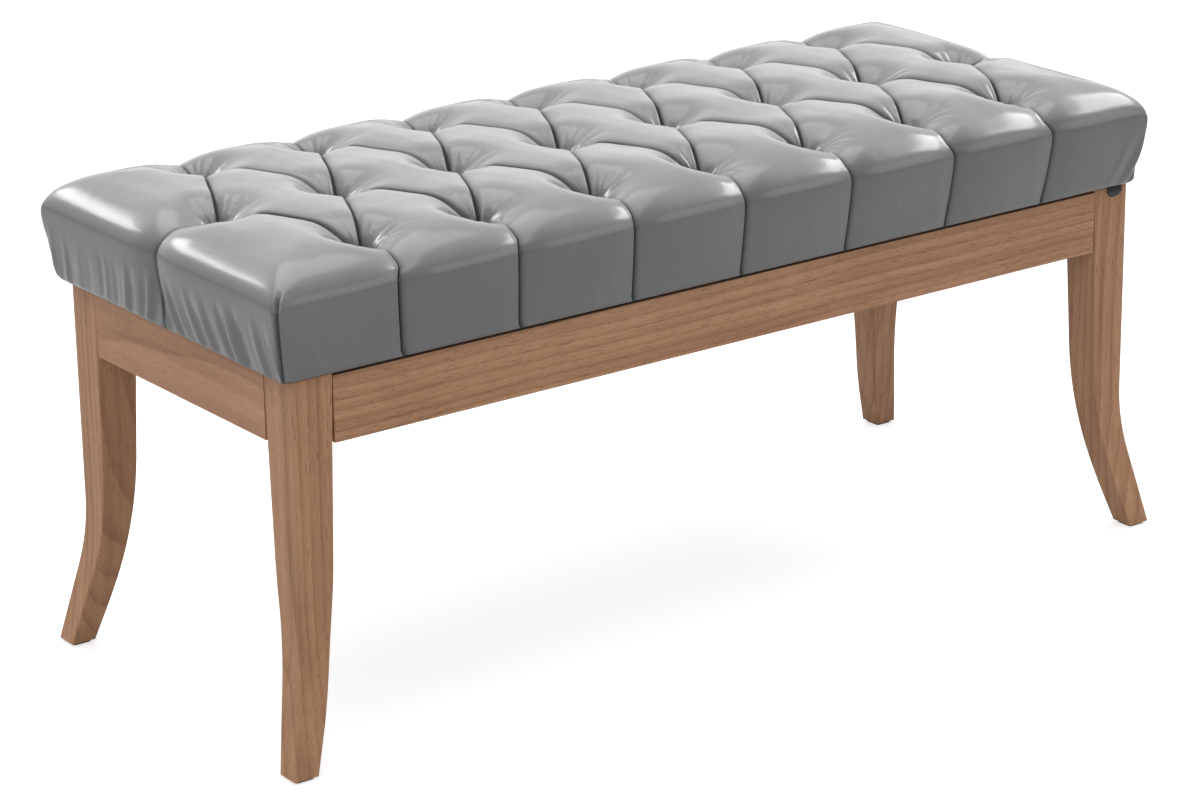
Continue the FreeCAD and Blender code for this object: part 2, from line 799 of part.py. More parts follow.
def tuftPlaces():
    """Give each row's tufts, seven in the outer rows and eight between them."""
    pitch = size("tuft_pitch")
    rows = {}
    for row, count, place in zip(
        ROWS,
        (TUFTS_IN_OUTER_ROWS, TUFTS_IN_OUTER_ROWS + 1, TUFTS_IN_OUTER_ROWS),
        (-size("tuft_row"), 0.0, size("tuft_row")),
    ):
        rows[row] = [
            Vector((index - (count - 1) / 2) * pitch + size("seat_shift"), place, 0)
            for index in range(count)
        ]
    return rows


def tuftFloor(inset=0.0):
    """Give the height of the small flat floor at the bottom of every tuft."""
    return seatLevels()["crown"] + size("tuft_rise") - size("tuft_radius") - inset


def tuftTool(place, inset):
    """Turn the trumpet shape that one tuft takes out of the pad."""
    crown = seatLevels()["crown"]
    radius = size("tuft_radius") - inset
    centre = Vector(size("tuft_floor") + size("tuft_radius"), 0, tuftFloor())
    mouth = math.radians(TUFT_MOUTH)

    def onArc(angle):
        return centre + Vector(-radius * math.cos(angle), 0, radius * math.sin(angle))

    above = crown + size("tuft_radius")
    corners = [
        Vector(0, 0, tuftFloor(inset)),
        Vector(onArc(0).x, 0, tuftFloor(inset)),
        onArc(0),
        onArc(mouth),
        Vector(onArc(mouth).x, 0, above),
        Vector(0, 0, above),
    ]
    edges = [Part.LineSegment(corners[0], corners[1]).toShape()]
    if inset > 0:
        edges.append(Part.LineSegment(corners[1], corners[2]).toShape())
    edges.append(Part.Arc(corners[2], onArc(mouth / 2), corners[3]).toShape())
    edges.append(Part.LineSegment(corners[3], corners[4]).toShape())
    edges.append(Part.LineSegment(corners[4], corners[5]).toShape())
    edges.append(Part.LineSegment(corners[5], corners[0]).toShape())
    tool = Part.Face(Part.Wire(edges)).revolve(Vector(), Vector(0, 0, 1), 360)
    tool.translate(place)
    return tool


def pleatTool(start, end, outward, radius, depth, inset):
    """Extrude the cusp between two round cushions, from one end of its bottom line to the other."""
    run = end - start
    along = Vector(run)
    along.normalize()
    across = along.cross(outward)
    across.normalize()
    up = across.cross(along)
    spread = math.sqrt(2 * radius * depth - depth * depth)
    centreDepth = radius - depth
    inner = radius - inset
    cusp = math.acos(spread / inner)
    mouth = math.radians(PLEAT_MOUTH)
    bottom = start + up * (inner * math.sin(cusp) - centreDepth)
    rims = []
    for turn in SIDES:
        centre = start + across * (turn * spread) - up * centreDepth
        middle, rim = [
            centre - across * (turn * inner * math.cos(angle)) + up * (inner * math.sin(angle))
            for angle in ((cusp + mouth) / 2, mouth)
        ]
        rims.append((middle, rim))
    beyond = up * radius
    (firstMiddle, firstRim), (secondMiddle, secondRim) = rims
    outline = Part.Wire([
        Part.Arc(bottom, firstMiddle, firstRim).toShape(),
        Part.LineSegment(firstRim, firstRim + beyond).toShape(),
        Part.LineSegment(firstRim + beyond, secondRim + beyond).toShape(),
        Part.LineSegment(secondRim + beyond, secondRim).toShape(),
        Part.Arc(secondRim, secondMiddle, bottom).toShape(),
    ])
    return Part.Face(outline).extrude(run)


def seatTools(inset):
    """Make every tuft and pleat that draws the pad's surface in."""
    rows = tuftPlaces()
    levels = seatLevels()
    up = Vector(0, 0, 1)
    tools = [tuftTool(place, inset) for row in ROWS for place in rows[row]]
    radius, depth = size("pleat_radius"), size("pleat_depth")
    sideRadius, sideDepth = size("side_pleat_radius"), size("side_pleat_depth")
    floor = Vector(0, 0, levels["crown"] - depth)
    fall = Vector(0, 0, size("edge_pleat_fall"))
    overhang = size("seat_top_overhang")
    below = Vector(0, 0, levels["cloth"])
    above = Vector(0, 0, levels["crown"])
    for row, turn in (("front", -1), ("back", 1)):
        edge = size("frame_width") / 2 + overhang
        for index, place in enumerate(rows[row]):
            for other in rows["middle"][index:index + 2]:
                tools.append(pleatTool(place + floor, other + floor, up, radius, depth, inset))
            rim = Vector(place.x, turn * edge, 0)
            tools.append(pleatTool(place + floor, rim + floor - fall, up, radius, depth, inset))
            cusp = Vector(place.x, turn * (edge - sideDepth), 0)
            outward = Vector(0, turn, 0)
            tools.append(pleatTool(cusp + below, cusp + above, outward,
                                   sideRadius, sideDepth, inset))
    edge = size("frame_length") / 2 + overhang
    for place, turn in ((rows["middle"][0], -1), (rows["middle"][-1], 1)):
        rim = Vector(turn * edge + size("seat_shift"), 0, 0)
        tools.append(pleatTool(place + floor, rim + floor - fall, up, radius, depth, inset))
        cusp = rim - Vector(turn * sideDepth, 0, 0)
        tools.append(pleatTool(cusp + below, cusp + above, Vector(turn, 0, 0),
                               sideRadius, sideDepth, inset))
    return tools


def twineWays(low, high):
    """Make the round ways for the twines between two heights."""
    radius = size("twine_diameter") / 2 + size("fit_gap")
    return [
        Part.makeCylinder(radius, high - low, place + Vector(0, 0, low))
        for row in ROWS for place in tuftPlaces()[row]
    ]


def underside(inset, low, high):
    """Make a slab over the frame's outline, drawn in by an inset."""
    length = size("frame_length") - 2 * inset
    width = size("frame_width") - 2 * inset
    outline = roundedOutline(length, width, size("board_corner"), low)
    return Part.Face(outline).extrude(Vector(0, 0, high - low))


def seatScrewWays(low, high, clearance):
    radius = size("seat_screw_diameter") / 2 + clearance
    ways = []
    inner = [size("frame_length") / 2 - size("apron_thick") - size("seat_screw_long"),
             size("frame_width") / 2 - size("apron_thick") - size("seat_screw_short")]
    places = [(sideX * inner[0], sideY * inner[1]) for sideX in SIDES for sideY in SIDES]
    places += [(0, side * size("rail_screw_offset")) for side in SIDES]
    for placeX, placeY in places:
        ways.append(Part.makeCylinder(radius, high - low, Vector(placeX, placeY, low)))
    return ways


def staplePlaces(inset):
    """Spread staples around the underside, each with its middle and its direction."""
    halfLength = size("frame_length") / 2 - inset
    halfWidth = size("frame_width") / 2 - inset
    shift = size("seat_shift")
    places = []
    for side in SIDES:
        for index in range(LONG_SIDE_STAPLES):
            share = (index + 0.5) / LONG_SIDE_STAPLES * 2 - 1
            reach = halfLength - size("leg_size")
            places.append((Vector(share * reach + shift, side * halfWidth, 0), Vector(1, 0, 0)))
        for index in range(SHORT_SIDE_STAPLES):
            share = (index + 0.5) / SHORT_SIDE_STAPLES * 2 - 1
            reach = halfWidth - size("leg_size")
            places.append((Vector(side * halfLength + shift, share * reach, 0), Vector(0, 1, 0)))
    return places


def staple(middle, direction, level, clearance=0.0):
    """Bend one staple, its crown hanging under a level and its two legs above it."""
    wire = size("staple_wire")
    reach = size("staple_width") / 2
    turn = FreeCAD.Rotation(Vector(1, 0, 0), direction)
    half = wire / 2 + clearance
    low = level - wire
    high = level + size("staple_leg")
    pieces = [
        Part.makeBox(2 * (reach + clearance), 2 * half, wire, Vector(-reach - clearance, -half, low))
    ]
    for side in SIDES:
        centre = side * (reach - wire / 2)
        pieces.append(Part.makeBox(
            2 * half, 2 * half, high + clearance - low, Vector(centre - half, -half, low)
        ))
    whole = pieces[0].fuse(pieces[1:]).removeSplitter()
    whole.Placement = FreeCAD.Placement(middle, turn)
    return whole


def staples(inset, level, clearance=0.0):
    return [
        staple(middle, direction, level, clearance) for middle, direction in staplePlaces(inset)
    ]


def makeBoard():
    levels = seatLevels()
    board = underside(0.0, levels["board"], levels["foam"])
    tools = twineWays(levels["cloth"], levels["crown"])
    tools += seatScrewWays(
        levels["cloth"],
        blockBase() + size("seat_screw_length") + size("fit_gap"),
        size("fit_gap"),
    )
    gap = size("fit_gap")
    tools += staples(size("staple_inset"), levels["cover"], gap)
    tools += staples(size("dust_staple_inset"), levels["cloth"], gap)
    return [addShape("seat_board", board.cut(tools))]


def blockBase():
    return size("leg_height") - size("apron_drop") - size("block_height")


def makeCushion():
    """Make the cover as a thin shell and the foam that fills it, both drawn in at every tuft."""
    levels = seatLevels()
    wall = size("cover_thick")
    outside = seatForm(0.0).cut(seatTools(0.0))
    hollow = seatForm(wall).cut(seatTools(wall))
    cover = outside.cut(hollow)
    opening = underside(size("cover_return"), levels["cloth"], levels["board"] + size("fit_gap"))
    gap = size("fit_gap")
    tools = [opening] + twineWays(tuftFloor() - 2 * wall, levels["crown"])
    tools += staples(size("staple_inset"), levels["cover"], gap)
    tools += staples(size("dust_staple_inset"), levels["cloth"], gap)
    cover = cover.cut(tools)
    inset = wall + size("foam_gap")
    foam = seatForm(inset).cut(seatTools(inset))
    pocket = underside(-size("foam_gap"), levels["cloth"], levels["foam"])
    foam = foam.cut([pocket] + twineWays(levels["board"], levels["crown"]))
    return [addShape("seat_cover", cover), addShape("seat_foam", foam)]


def makeTies():
    """Make the twine that holds each tuft down, and the washer that it is tied off against."""
    levels = seatLevels()
    radius = size("twine_diameter") / 2
    floor = tuftFloor()
    washerBase = levels["board"] - size("tie_washer_thick")
    knotBase = washerBase - size("tie_knot_thick")
    barLength = size("tie_bar_length")
    ties, washers = [], []
    for row in ROWS:
        for place in tuftPlaces()[row]:
            twine = Part.makeCylinder(
                radius, floor + radius - knotBase, place + Vector(0, 0, knotBase)
            )
            bar = Part.makeCylinder(
                radius, barLength, place + Vector(-barLength / 2, 0, floor + radius),
                Vector(1, 0, 0),
            )
            knot = Part.makeCylinder(
                size("tie_knot_diameter") / 2, size("tie_knot_thick"),
                place + Vector(0, 0, knotBase),
            )
            ties.append(twine.fuse([bar, knot]))
            disc = Part.makeCylinder(
                size("tie_washer_diameter") / 2, size("tie_washer_thick"),
                place + Vector(0, 0, washerBase),
            )
            bore = Part.makeCylinder(
                radius + size("fit_gap"), size("tie_washer_thick"),
                place + Vector(0, 0, washerBase),
            )
            washers.append(disc.cut(bore))
    return [
        addShape("tuft_ties", Part.Compound(ties)),
        addShape("tuft_washers", Part.Compound(washers)),
    ]


def makeDustCover():
    """Make the cloth stapled under the seat, and its gathered corner over the front right leg."""
    levels = seatLevels()
    inset = size("dust_cover_inset")
    cloth = underside(inset, levels["cloth"], levels["staples"])
    tools = seatScrewWays(levels["cloth"], levels["board"], size("fit_gap"))
    tools += staples(size("dust_staple_inset"), levels["cloth"], size("fit_gap"))
    cloth = cloth.cut(tools)
    width, depth = size("fold_width"), size("fold_depth")
    right = size("frame_length") / 2 - size("fold_from_edge")
    edge = -size("frame_width") / 2
    drop = size("fold_drop")
    clear = size("foam_gap")
    lip = Part.makeBox(
        width, inset + clear + depth / 2, size("dust_cover_thick"),
        Vector(right - width, edge - clear - depth / 2, levels["cloth"]),
    )
    lobes = [lip]
    middle, near = right - width / 2, edge - clear
    for share, bulk in GATHERS:
        half = share * width / 2
        hanging = levels["staples"] - drop * (GATHER_DROP - GATHER_DROP_BY_DEPTH * bulk)
        points = [
            Vector(middle - half, near, levels["staples"]),
            Vector(middle + half, near, levels["staples"]),
            Vector(middle + GATHER_TAPER * half, near, hanging),
            Vector(middle - GATHER_TAPER * half, near, hanging),
        ]
        outline = Part.makePolygon(points + points[:1])
        lobes.append(Part.Face(outline).extrude(Vector(0, -depth * bulk, 0)))
    fold = lobes[0].fuse(lobes[1:]).removeSplitter()
    return [addShape("dust_cover", cloth), addShape("dust_cover_fold", fold)]


def makeStaples():
    levels = seatLevels()
    return [
        addShape("cover_staples",
                 Part.Compound(staples(size("staple_inset"), levels["cover"]))),
        addShape("dust_cover_staples",
                 Part.Compound(staples(size("dust_staple_inset"), levels["cloth"]))),
    ]


# The whole bench

def makeLegs():
    legs = []
    for name, sideX, sideY in (
        ("leg_front_left", -1, -1),
        ("leg_front_right", 1, -1),
        ("leg_back_left", -1, 1),
        ("leg_back_right", 1, 1),
    ):
        body = makeLeg(name, sideX, sideY)
        legs.append(addCut(name, body, legHoles(name, sideX, sideY)))
    return legs


def main():
    pieces = makeLegs() + makeAprons() + makeBlocks() + makeRail() + makeDowels()
    pieces += makeBoltSet() + makeGlides() + makeSeatScrews()
    pieces += makeBoard() + makeCushion() + makeTies() + makeDustCover() + makeStaples()
    doc.recompute()
    for item in doc.Objects:
        if "Invalid" in item.State or "Error" in item.State:
            raise RuntimeError(f"{item.Label} failed: {item.State}")
    for piece in pieces:
        if piece.Shape.isNull() or not piece.Shape.isValid():
            raise RuntimeError(f"{piece.Label} has no valid shape")
    os.makedirs("parts", exist_ok=True)
    for piece in pieces:
        piece.Shape.exportStep(f"parts/{piece.Label}.step")
        box = piece.Shape.BoundBox
        print(f"{piece.Label}: {len(piece.Shape.Solids)} solids, {piece.Shape.Volume:.0f} mm3, "
              f"z {box.ZMin:.1f} to {box.ZMax:.1f}")


main()
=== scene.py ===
# A bench with a tufted leatherette seat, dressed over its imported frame.
from math import cos, pi, radians, sin, sqrt

import bpy
import numpy as np
from mathutils import Matrix, Vector


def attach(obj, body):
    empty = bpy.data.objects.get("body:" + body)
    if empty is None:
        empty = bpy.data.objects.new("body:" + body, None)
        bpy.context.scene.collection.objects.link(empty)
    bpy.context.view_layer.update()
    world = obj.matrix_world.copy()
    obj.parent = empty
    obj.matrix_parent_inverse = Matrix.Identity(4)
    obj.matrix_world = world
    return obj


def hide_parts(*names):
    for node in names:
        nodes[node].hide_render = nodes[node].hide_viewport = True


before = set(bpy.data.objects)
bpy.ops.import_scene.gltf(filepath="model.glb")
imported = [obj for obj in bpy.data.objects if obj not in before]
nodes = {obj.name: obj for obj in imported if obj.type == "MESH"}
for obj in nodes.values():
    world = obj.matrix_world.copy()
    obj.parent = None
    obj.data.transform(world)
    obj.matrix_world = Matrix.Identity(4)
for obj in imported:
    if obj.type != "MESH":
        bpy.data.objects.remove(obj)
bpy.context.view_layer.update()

mm = 0.001


# Small helpers for meshes

def buildMesh(name, points, faces, smooth=True):
    # points is an (n, 3) array in mm, faces a list of (m, 3) or (m, 4) or (1, k) index arrays
    mesh = bpy.data.meshes.new(name)
    corners = np.concatenate([block.ravel() for block in faces]).astype(np.int32)
    sizes = np.concatenate([np.full(len(block), block.shape[1]) for block in faces])
    mesh.vertices.add(len(points))
    mesh.vertices.foreach_set("co", (points * mm).astype(np.float32).ravel())
    mesh.loops.add(len(corners))
    mesh.loops.foreach_set("vertex_index", corners)
    mesh.polygons.add(len(sizes))
    starts = np.concatenate([[0], np.cumsum(sizes)[:-1]]).astype(np.int32)
    mesh.polygons.foreach_set("loop_start", starts)
    mesh.polygons.foreach_set("use_smooth", np.full(len(sizes), smooth))
    mesh.update(calc_edges=True)
    mesh.validate()
    piece = bpy.data.objects.new(name, mesh)
    bpy.context.scene.collection.objects.link(piece)
    return piece


def gridFaces(rows, columns, closed=False, first=0):
    # quads of a grid whose point (row, column) has the index first + row * columns + column
    row = np.arange(rows - 1)[:, None]
    column = np.arange(columns if closed else columns - 1)[None, :]
    beside = (column + 1) % columns
    quads = np.stack([row * columns + column, row * columns + beside,
                      (row + 1) * columns + beside, (row + 1) * columns + column], -1)
    return quads.reshape(-1, 4) + first


def pointNumber(piece, name, values):
    # one number for each point, for a material to read as an attribute
    layer = piece.data.attributes.new(name, "FLOAT", "POINT")
    layer.data.foreach_set("value", np.asarray(values, np.float32).ravel())


def ramp01(value, low, high):
    # 0 below low, 1 above high, and a smooth S between them
    share = np.clip((value - low) / (high - low), 0, 1)
    return share * share * (3 - 2 * share)


def ripples(across, up, seed, waves, lengths):
    # a smooth uneven surface of about unit height: a sum of waves in random directions, their
    # lengths between the two given
    dice = np.random.default_rng(seed)
    total = 0
    for turn, length, phase in zip(dice.uniform(0, 2 * pi, waves),
                                   dice.uniform(*lengths, waves),
                                   dice.uniform(0, 2 * pi, waves)):
        total = total + np.sin(2 * pi * (across * cos(turn) + up * sin(turn)) / length + phase)
    return total / sqrt(waves / 2)


# Small helpers for materials

def newMaterial(name, **constants):
    # constants are set on the shader's own sockets, with _ for a space in a socket's name
    material = bpy.data.materials.new(name)
    material.use_nodes = True
    shader = material.node_tree.nodes["Principled BSDF"]
    for socket, value in constants.items():
        shader.inputs[socket.replace("_", " ")].default_value = value
    return material, material.node_tree, shader


def addNode(tree, kind, settings=None, inputs=None, **links):
    node = tree.nodes.new("ShaderNode" + kind)
    for key, value in (settings or {}).items():
        setattr(node, key, value)
    for key, value in (inputs or {}).items():
        node.inputs[key].default_value = value
    for key, source in links.items():
        tree.links.new(source, node.inputs[key.replace("_", " ")])
    return node


def mathNode(tree, operation, first, second=None, third=None):
    node = tree.nodes.new("ShaderNodeMath")
    node.operation = operation
    for place, value in enumerate((first, second, third)):
        if value is None:
            continue
        if isinstance(value, (int, float)):
            node.inputs[place].default_value = value
        else:
            tree.links.new(value, node.inputs[place])
    return node.outputs[0]


def times(tree, first, second):
    return mathNode(tree, "MULTIPLY", first, second)


def colourRamp(tree, source, stops):
    # stops are (place, colour), from the left
    node = tree.nodes.new("ShaderNodeValToRGB")
    marks = node.color_ramp.elements
    while len(marks) < len(stops):
        marks.new(0.5)
    for mark, (place, colour) in zip(marks, stops):
        mark.position = place
        mark.color = (*colour, 1)
    tree.links.new(source, node.inputs["Fac"])
    return node.outputs["Color"]


def mixColours(tree, share, first, second):
    # a colour mix keeps its share and its two colours on sockets 0, 6 and 7, its result on 2
    node = tree.nodes.new("ShaderNodeMix")
    node.data_type = "RGBA"
    for place, value in ((0, share), (6, first), (7, second)):
        if isinstance(value, tuple):
            node.inputs[place].default_value = (*value, 1)
        else:
            tree.links.new(value, node.inputs[place])
    return node.outputs[2]


def mapped(tree, place, turn=(0, 0, 0), stretch=(1, 1, 1), move=(0, 0, 0)):
    # places stretched, then turned by degrees, then moved
    return addNode(tree, "Mapping", inputs={"Rotation": [radians(a) for a in turn],
                   "Scale": stretch, "Location": move}, Vector=place).outputs["Vector"]


def objectPlace(tree, turn=(0, 0, 0), stretch=(1, 1, 1)):
    return mapped(tree, addNode(tree, "TexCoord").outputs["Object"], turn, stretch)


def noise(tree, place, scale, detail=2.0, roughness=0.5, distortion=0.0):
    node = addNode(tree, "TexNoise", inputs={"Scale": scale, "Detail": detail,
                   "Roughness": roughness, "Distortion": distortion}, Vector=place)
    return node.outputs["Fac"]


def addBump(tree, shader, height, distance, strength):
    bump = addNode(tree, "Bump", inputs={"Distance": distance, "Strength": strength},
                   Height=height)
    tree.links.new(bump.outputs["Normal"], shader.inputs["Normal"])


def rampColour(tree, shader, source, stops):
    tree.links.new(colourRamp(tree, source, stops), shader.inputs["Base Color"])


def varyRoughness(tree, shader, source, reach, least):
    rough = mathNode(tree, "MULTIPLY_ADD", source, reach, least)
    tree.links.new(rough, shader.inputs["Roughness"])


def vectorNode(tree, operation, first, constants=None, second=None):
    node = addNode(tree, "VectorMath", {"operation": operation}, constants)
    tree.links.new(first, node.inputs[0])
    if second is not None:
        tree.links.new(second, node.inputs[1])
    return node.outputs["Value" if operation in ("LENGTH", "DOT_PRODUCT") else "Vector"]


walnut = {
    "light": (0.47, 0.262, 0.146),
    "middle": (0.385, 0.200, 0.106),
    "dark": (0.250, 0.118, 0.058),
    "pore": (0.11, 0.050, 0.025),
    "stops": (0.28, 0.52, 0.86), # tones at which the first three come
    "ring": 0.0085,           # a year's growth, in metres
    "ringAlong": 0.22,        # the rings' wander is this much slower along the grain
    "wander": 0.03,           # how far they wander, in metres
    "wanderScale": 9.0,
    "late": 3.2,              # a ring darkens with this power of its width
    "lateEnd": 24.0,          # and ends as sharply as this one
    "fibre": 0.0011,          # width of a fibre, in metres
    "fibreAlong": 0.035,
    "broadScale": 95.0,       # broad streaks
    "cloudScale": 14.0,       # lighter and darker clouds
    "poreScale": 1500.0,
    "poreAlong": 0.06,
    "poreFrom": 0.66,
    "poreShare": 0.55,
    "bandTone": 0.30,         # what each figure adds to the tone
    "broadTone": 0.62,
    "fibreTone": 0.34,
    "cloudTone": 0.22,
    "toneShift": 0.10,        # and what is taken off it
    "rough": 0.42,
    "fibreRough": 0.16,
    "bump": 0.00035,
    "bumpStrength": 0.55,
}


def walnutWood(name, turn, heart, tilt):
    # Growth rings are shells round a heart line that lies almost along the grain. Where the tilted
    # line nears the sawn face the shells cut it in long arches, and elsewhere in straight lines.
    material, tree, shader = newMaterial(name, Coat_Weight=0.05, Coat_Roughness=0.35,
                                         Specular_IOR_Level=0.32)
    along = objectPlace(tree, turn=turn)          # the grain runs along X from here on
    slow = mapped(tree, along, tilt, (walnut["ringAlong"], 1, 1), heart)
    wander = addNode(tree, "TexNoise", inputs={"Scale": walnut["wanderScale"], "Detail": 2.0,
                     "Roughness": 0.45}, Vector=slow).outputs["Color"]
    centred = vectorNode(tree, "SUBTRACT", wander, {1: (0.5, 0.5, 0.5)})
    pushed = vectorNode(tree, "SCALE", centred, {"Scale": walnut["wander"]})
    bent = vectorNode(tree, "ADD", slow, second=pushed)
    fromHeart = vectorNode(tree, "LENGTH", vectorNode(tree, "MULTIPLY", bent, {1: (0, 1, 1)}))
    season = mathNode(tree, "FRACT", mathNode(tree, "DIVIDE", fromHeart, walnut["ring"]))
    end = mathNode(tree, "SUBTRACT", 1.0, mathNode(tree, "POWER", season, walnut["lateEnd"]))
    band = times(tree, mathNode(tree, "POWER", season, walnut["late"]), end)

    streak = mapped(tree, along, stretch=(walnut["fibreAlong"], 1, 1))
    fibres = noise(tree, streak, 1 / walnut["fibre"], 3.0, 0.6)
    broad = noise(tree, streak, walnut["broadScale"], 2.0, 0.5)
    cloud = noise(tree, along, walnut["cloudScale"], 3.0, 0.55)
    dots = mapped(tree, along, stretch=(walnut["poreAlong"], 1, 1))
    dots = mathNode(tree, "GREATER_THAN", noise(tree, dots, walnut["poreScale"], 1.0, 0.5),
                    walnut["poreFrom"])
    pores = times(tree, dots, walnut["poreShare"])

    tone = times(tree, broad, walnut["broadTone"])
    tone = mathNode(tree, "MULTIPLY_ADD", band, walnut["bandTone"], tone)
    tone = mathNode(tree, "MULTIPLY_ADD", fibres, walnut["fibreTone"], tone)
    tone = mathNode(tree, "SUBTRACT", tone, walnut["toneShift"])
    tone = mathNode(tree, "MULTIPLY_ADD", cloud, walnut["cloudTone"], tone)
    colours = (walnut["light"], walnut["middle"], walnut["dark"])
    colour = colourRamp(tree, tone, list(zip(walnut["stops"], colours)))
    colour = mixColours(tree, pores, colour, walnut["pore"])
    tree.links.new(colour, shader.inputs["Base Color"])
    varyRoughness(tree, shader, fibres, walnut["fibreRough"], walnut["rough"])
    height = mathNode(tree, "SUBTRACT", times(tree, fibres, 0.5), pores)
    addBump(tree, shader, height, walnut["bump"], walnut["bumpStrength"])
    return material


def paint(piece, material):
    piece.data.materials.clear()
    piece.data.materials.append(material)


def repaint(name, material):
    piece = nodes[name]
    for place in range(len(piece.material_slots)):
        piece.material_slots[place].material = material
    if not piece.material_slots:
        piece.data.materials.append(material)


# The wooden frame: one board for each piece, so the figure differs from piece to piece

standing, sideways, endways = (0, 90, 0), (0, 0, 0), (0, 0, -90)
boards = {
    # name: (turn that lays the grain along X, place of the heart line, its tilt)
    "leg_front_left": (standing, (0.02, 0.472, 0.30), (0, 1.2, 1.0)),
    "leg_front_right": (standing, (0.21, -0.50, 0.11), (0, -1.5, 1.0)),
    "leg_back_left": (standing, (0.37, 0.53, -0.23), (0, 1.0, -1.2)),
    "leg_back_right": (standing, (0.55, -0.43, -0.10), (0, -1.0, 1.5)),
    "apron_front": (sideways, (0.05, 0.176, -0.372), (0, 1.3, 0.6)),
    "apron_back": (sideways, (0.45, -0.20, -0.30), (0, -1.0, 0.8)),
    "apron_left": (endways, (0.11, 0.49, -0.40), (0, 1.0, 0.7)),
    "apron_right": (endways, (0.31, -0.50, -0.27), (0, -1.0, 0.9)),
}
for name, (turn, heart, tilt) in boards.items():
    repaint(name, walnutWood("walnut_" + name, turn, heart, tilt))
print("walnut legs and aprons painted")


# Inner pieces and fasteners

plain = {
    "along": 0.12,            # the figure is this much slower along the grain
    "figureScale": 110.0,
    "fibreScale": 1400.0,
    "fibreTone": 0.4,
    "rough": 0.6,
    "bump": 0.0002,
}


def plainTimber(name, turn, light, dark):
    # sawn timber left bare: streaks and fibres along the grain
    material, tree, shader = newMaterial(name, Specular_IOR_Level=0.3)
    along = objectPlace(tree, turn=turn, stretch=(plain["along"], 1, 1))
    figure = noise(tree, along, plain["figureScale"], 3.0, 0.55, 0.6)
    fibres = noise(tree, along, plain["fibreScale"], 2.0, 0.6)
    tone = times(tree, figure, 1 - plain["fibreTone"])
    tone = mathNode(tree, "MULTIPLY_ADD", fibres, plain["fibreTone"], tone)
    rampColour(tree, shader, tone, [(0.3, light), (0.7, dark)])
    varyRoughness(tree, shader, fibres, 0.2, plain["rough"])
    addBump(tree, shader, fibres, plain["bump"], 0.6)
    return material


def plySheets(name):
    # thin sheets with crossed grain, which show as bands on the edge
    material, tree, shader = newMaterial(name, Specular_IOR_Level=0.3, Roughness=0.7)
    layers = addNode(tree, "TexWave", {"bands_direction": "Z"}, {"Scale": 210.0,
                     "Distortion": 0.4, "Detail": 2.0}, Vector=objectPlace(tree))
    figure = noise(tree, objectPlace(tree, stretch=(0.1, 1, 1)), 60.0, 3.0, 0.5, 1.0)
    tone = mathNode(tree, "MULTIPLY_ADD", layers.outputs["Fac"], 0.3,
                    times(tree, figure, 0.7))
    rampColour(tree, shader, tone, [(0.25, (0.62, 0.47, 0.29)), (0.75, (0.42, 0.29, 0.16))])
    addBump(tree, shader, figure, 0.0003, 0.5)
    return material


def zincPlate(name):
    # bright steel whose zinc has grown in small crystals
    material, tree, shader = newMaterial(name, Metallic=1.0)
    spangle = addNode(tree, "TexVoronoi", inputs={"Scale": 700.0}, Vector=objectPlace(tree))
    drift = noise(tree, objectPlace(tree), 160.0, 2.0)
    tone = mathNode(tree, "MULTIPLY_ADD", spangle.outputs["Distance"], 0.5,
                    times(tree, drift, 0.6))
    rampColour(tree, shader, tone, [(0.2, (0.62, 0.62, 0.60)), (0.8, (0.45, 0.46, 0.46))])
    varyRoughness(tree, shader, drift, 0.25, 0.25)
    addBump(tree, shader, spangle.outputs["Distance"], 0.0001, 0.4)
    return material


def mouldedPlastic(name):
    # black, with a fine speckled grain
    material, tree, shader = newMaterial(name, Specular_IOR_Level=0.4)
    speck = noise(tree, objectPlace(tree), 2200.0, 2.0)
    rampColour(tree, shader, speck, [(0.3, (0.012, 0.012, 0.013)), (0.8, (0.035, 0.035, 0.036))])
    varyRoughness(tree, shader, speck, 0.2, 0.4)
    addBump(tree, shader, speck, 0.00008, 0.5)
    return material


def waxedThread(name):
    # dark thread, its strands as slanting bands
    material, tree, shader = newMaterial(name, Specular_IOR_Level=0.3, Roughness=0.7)
    strands = addNode(tree, "TexWave", {"bands_direction": "DIAGONAL"}, {"Scale": 420.0,
                      "Distortion": 0.6}, Vector=objectPlace(tree)).outputs["Fac"]
    rampColour(tree, shader, strands, [(0.1, (0.05, 0.05, 0.052)), (0.9, (0.12, 0.12, 0.124))])
    addBump(tree, shader, strands, 0.0002, 0.6)
    return material


blockWood = {
    # the turn that lays each block's grain along X
    "corner_block_front_left": (0, 0, 45),
    "corner_block_front_right": (0, 0, -45),
    "corner_block_back_left": (0, 0, -45),
    "corner_block_back_right": (0, 0, 45),
    "middle_rail": (0, 0, -90),
}
for name, turn in blockWood.items():
    repaint(name, plainTimber("timber_" + name, turn, (0.56, 0.40, 0.24), (0.40, 0.26, 0.14)))
repaint("frame_dowels", plainTimber("beech", (0, 0, 0), (0.66, 0.48, 0.30), (0.50, 0.34, 0.19)))
repaint("seat_board", plySheets("ply_sheets"))
zinc = zincPlate("zinc_plate")
for name in ("corner_block_screws", "hanger_bolts", "bolt_washers", "bolt_nuts", "glide_nails",
             "seat_screws", "tuft_washers", "cover_staples", "dust_cover_staples"):
    repaint(name, zinc)
repaint("foot_glides", mouldedPlastic("moulded_glides"))
repaint("tuft_ties", waxedThread("tie_thread"))
print("inner pieces and fasteners painted")


# The seat pad

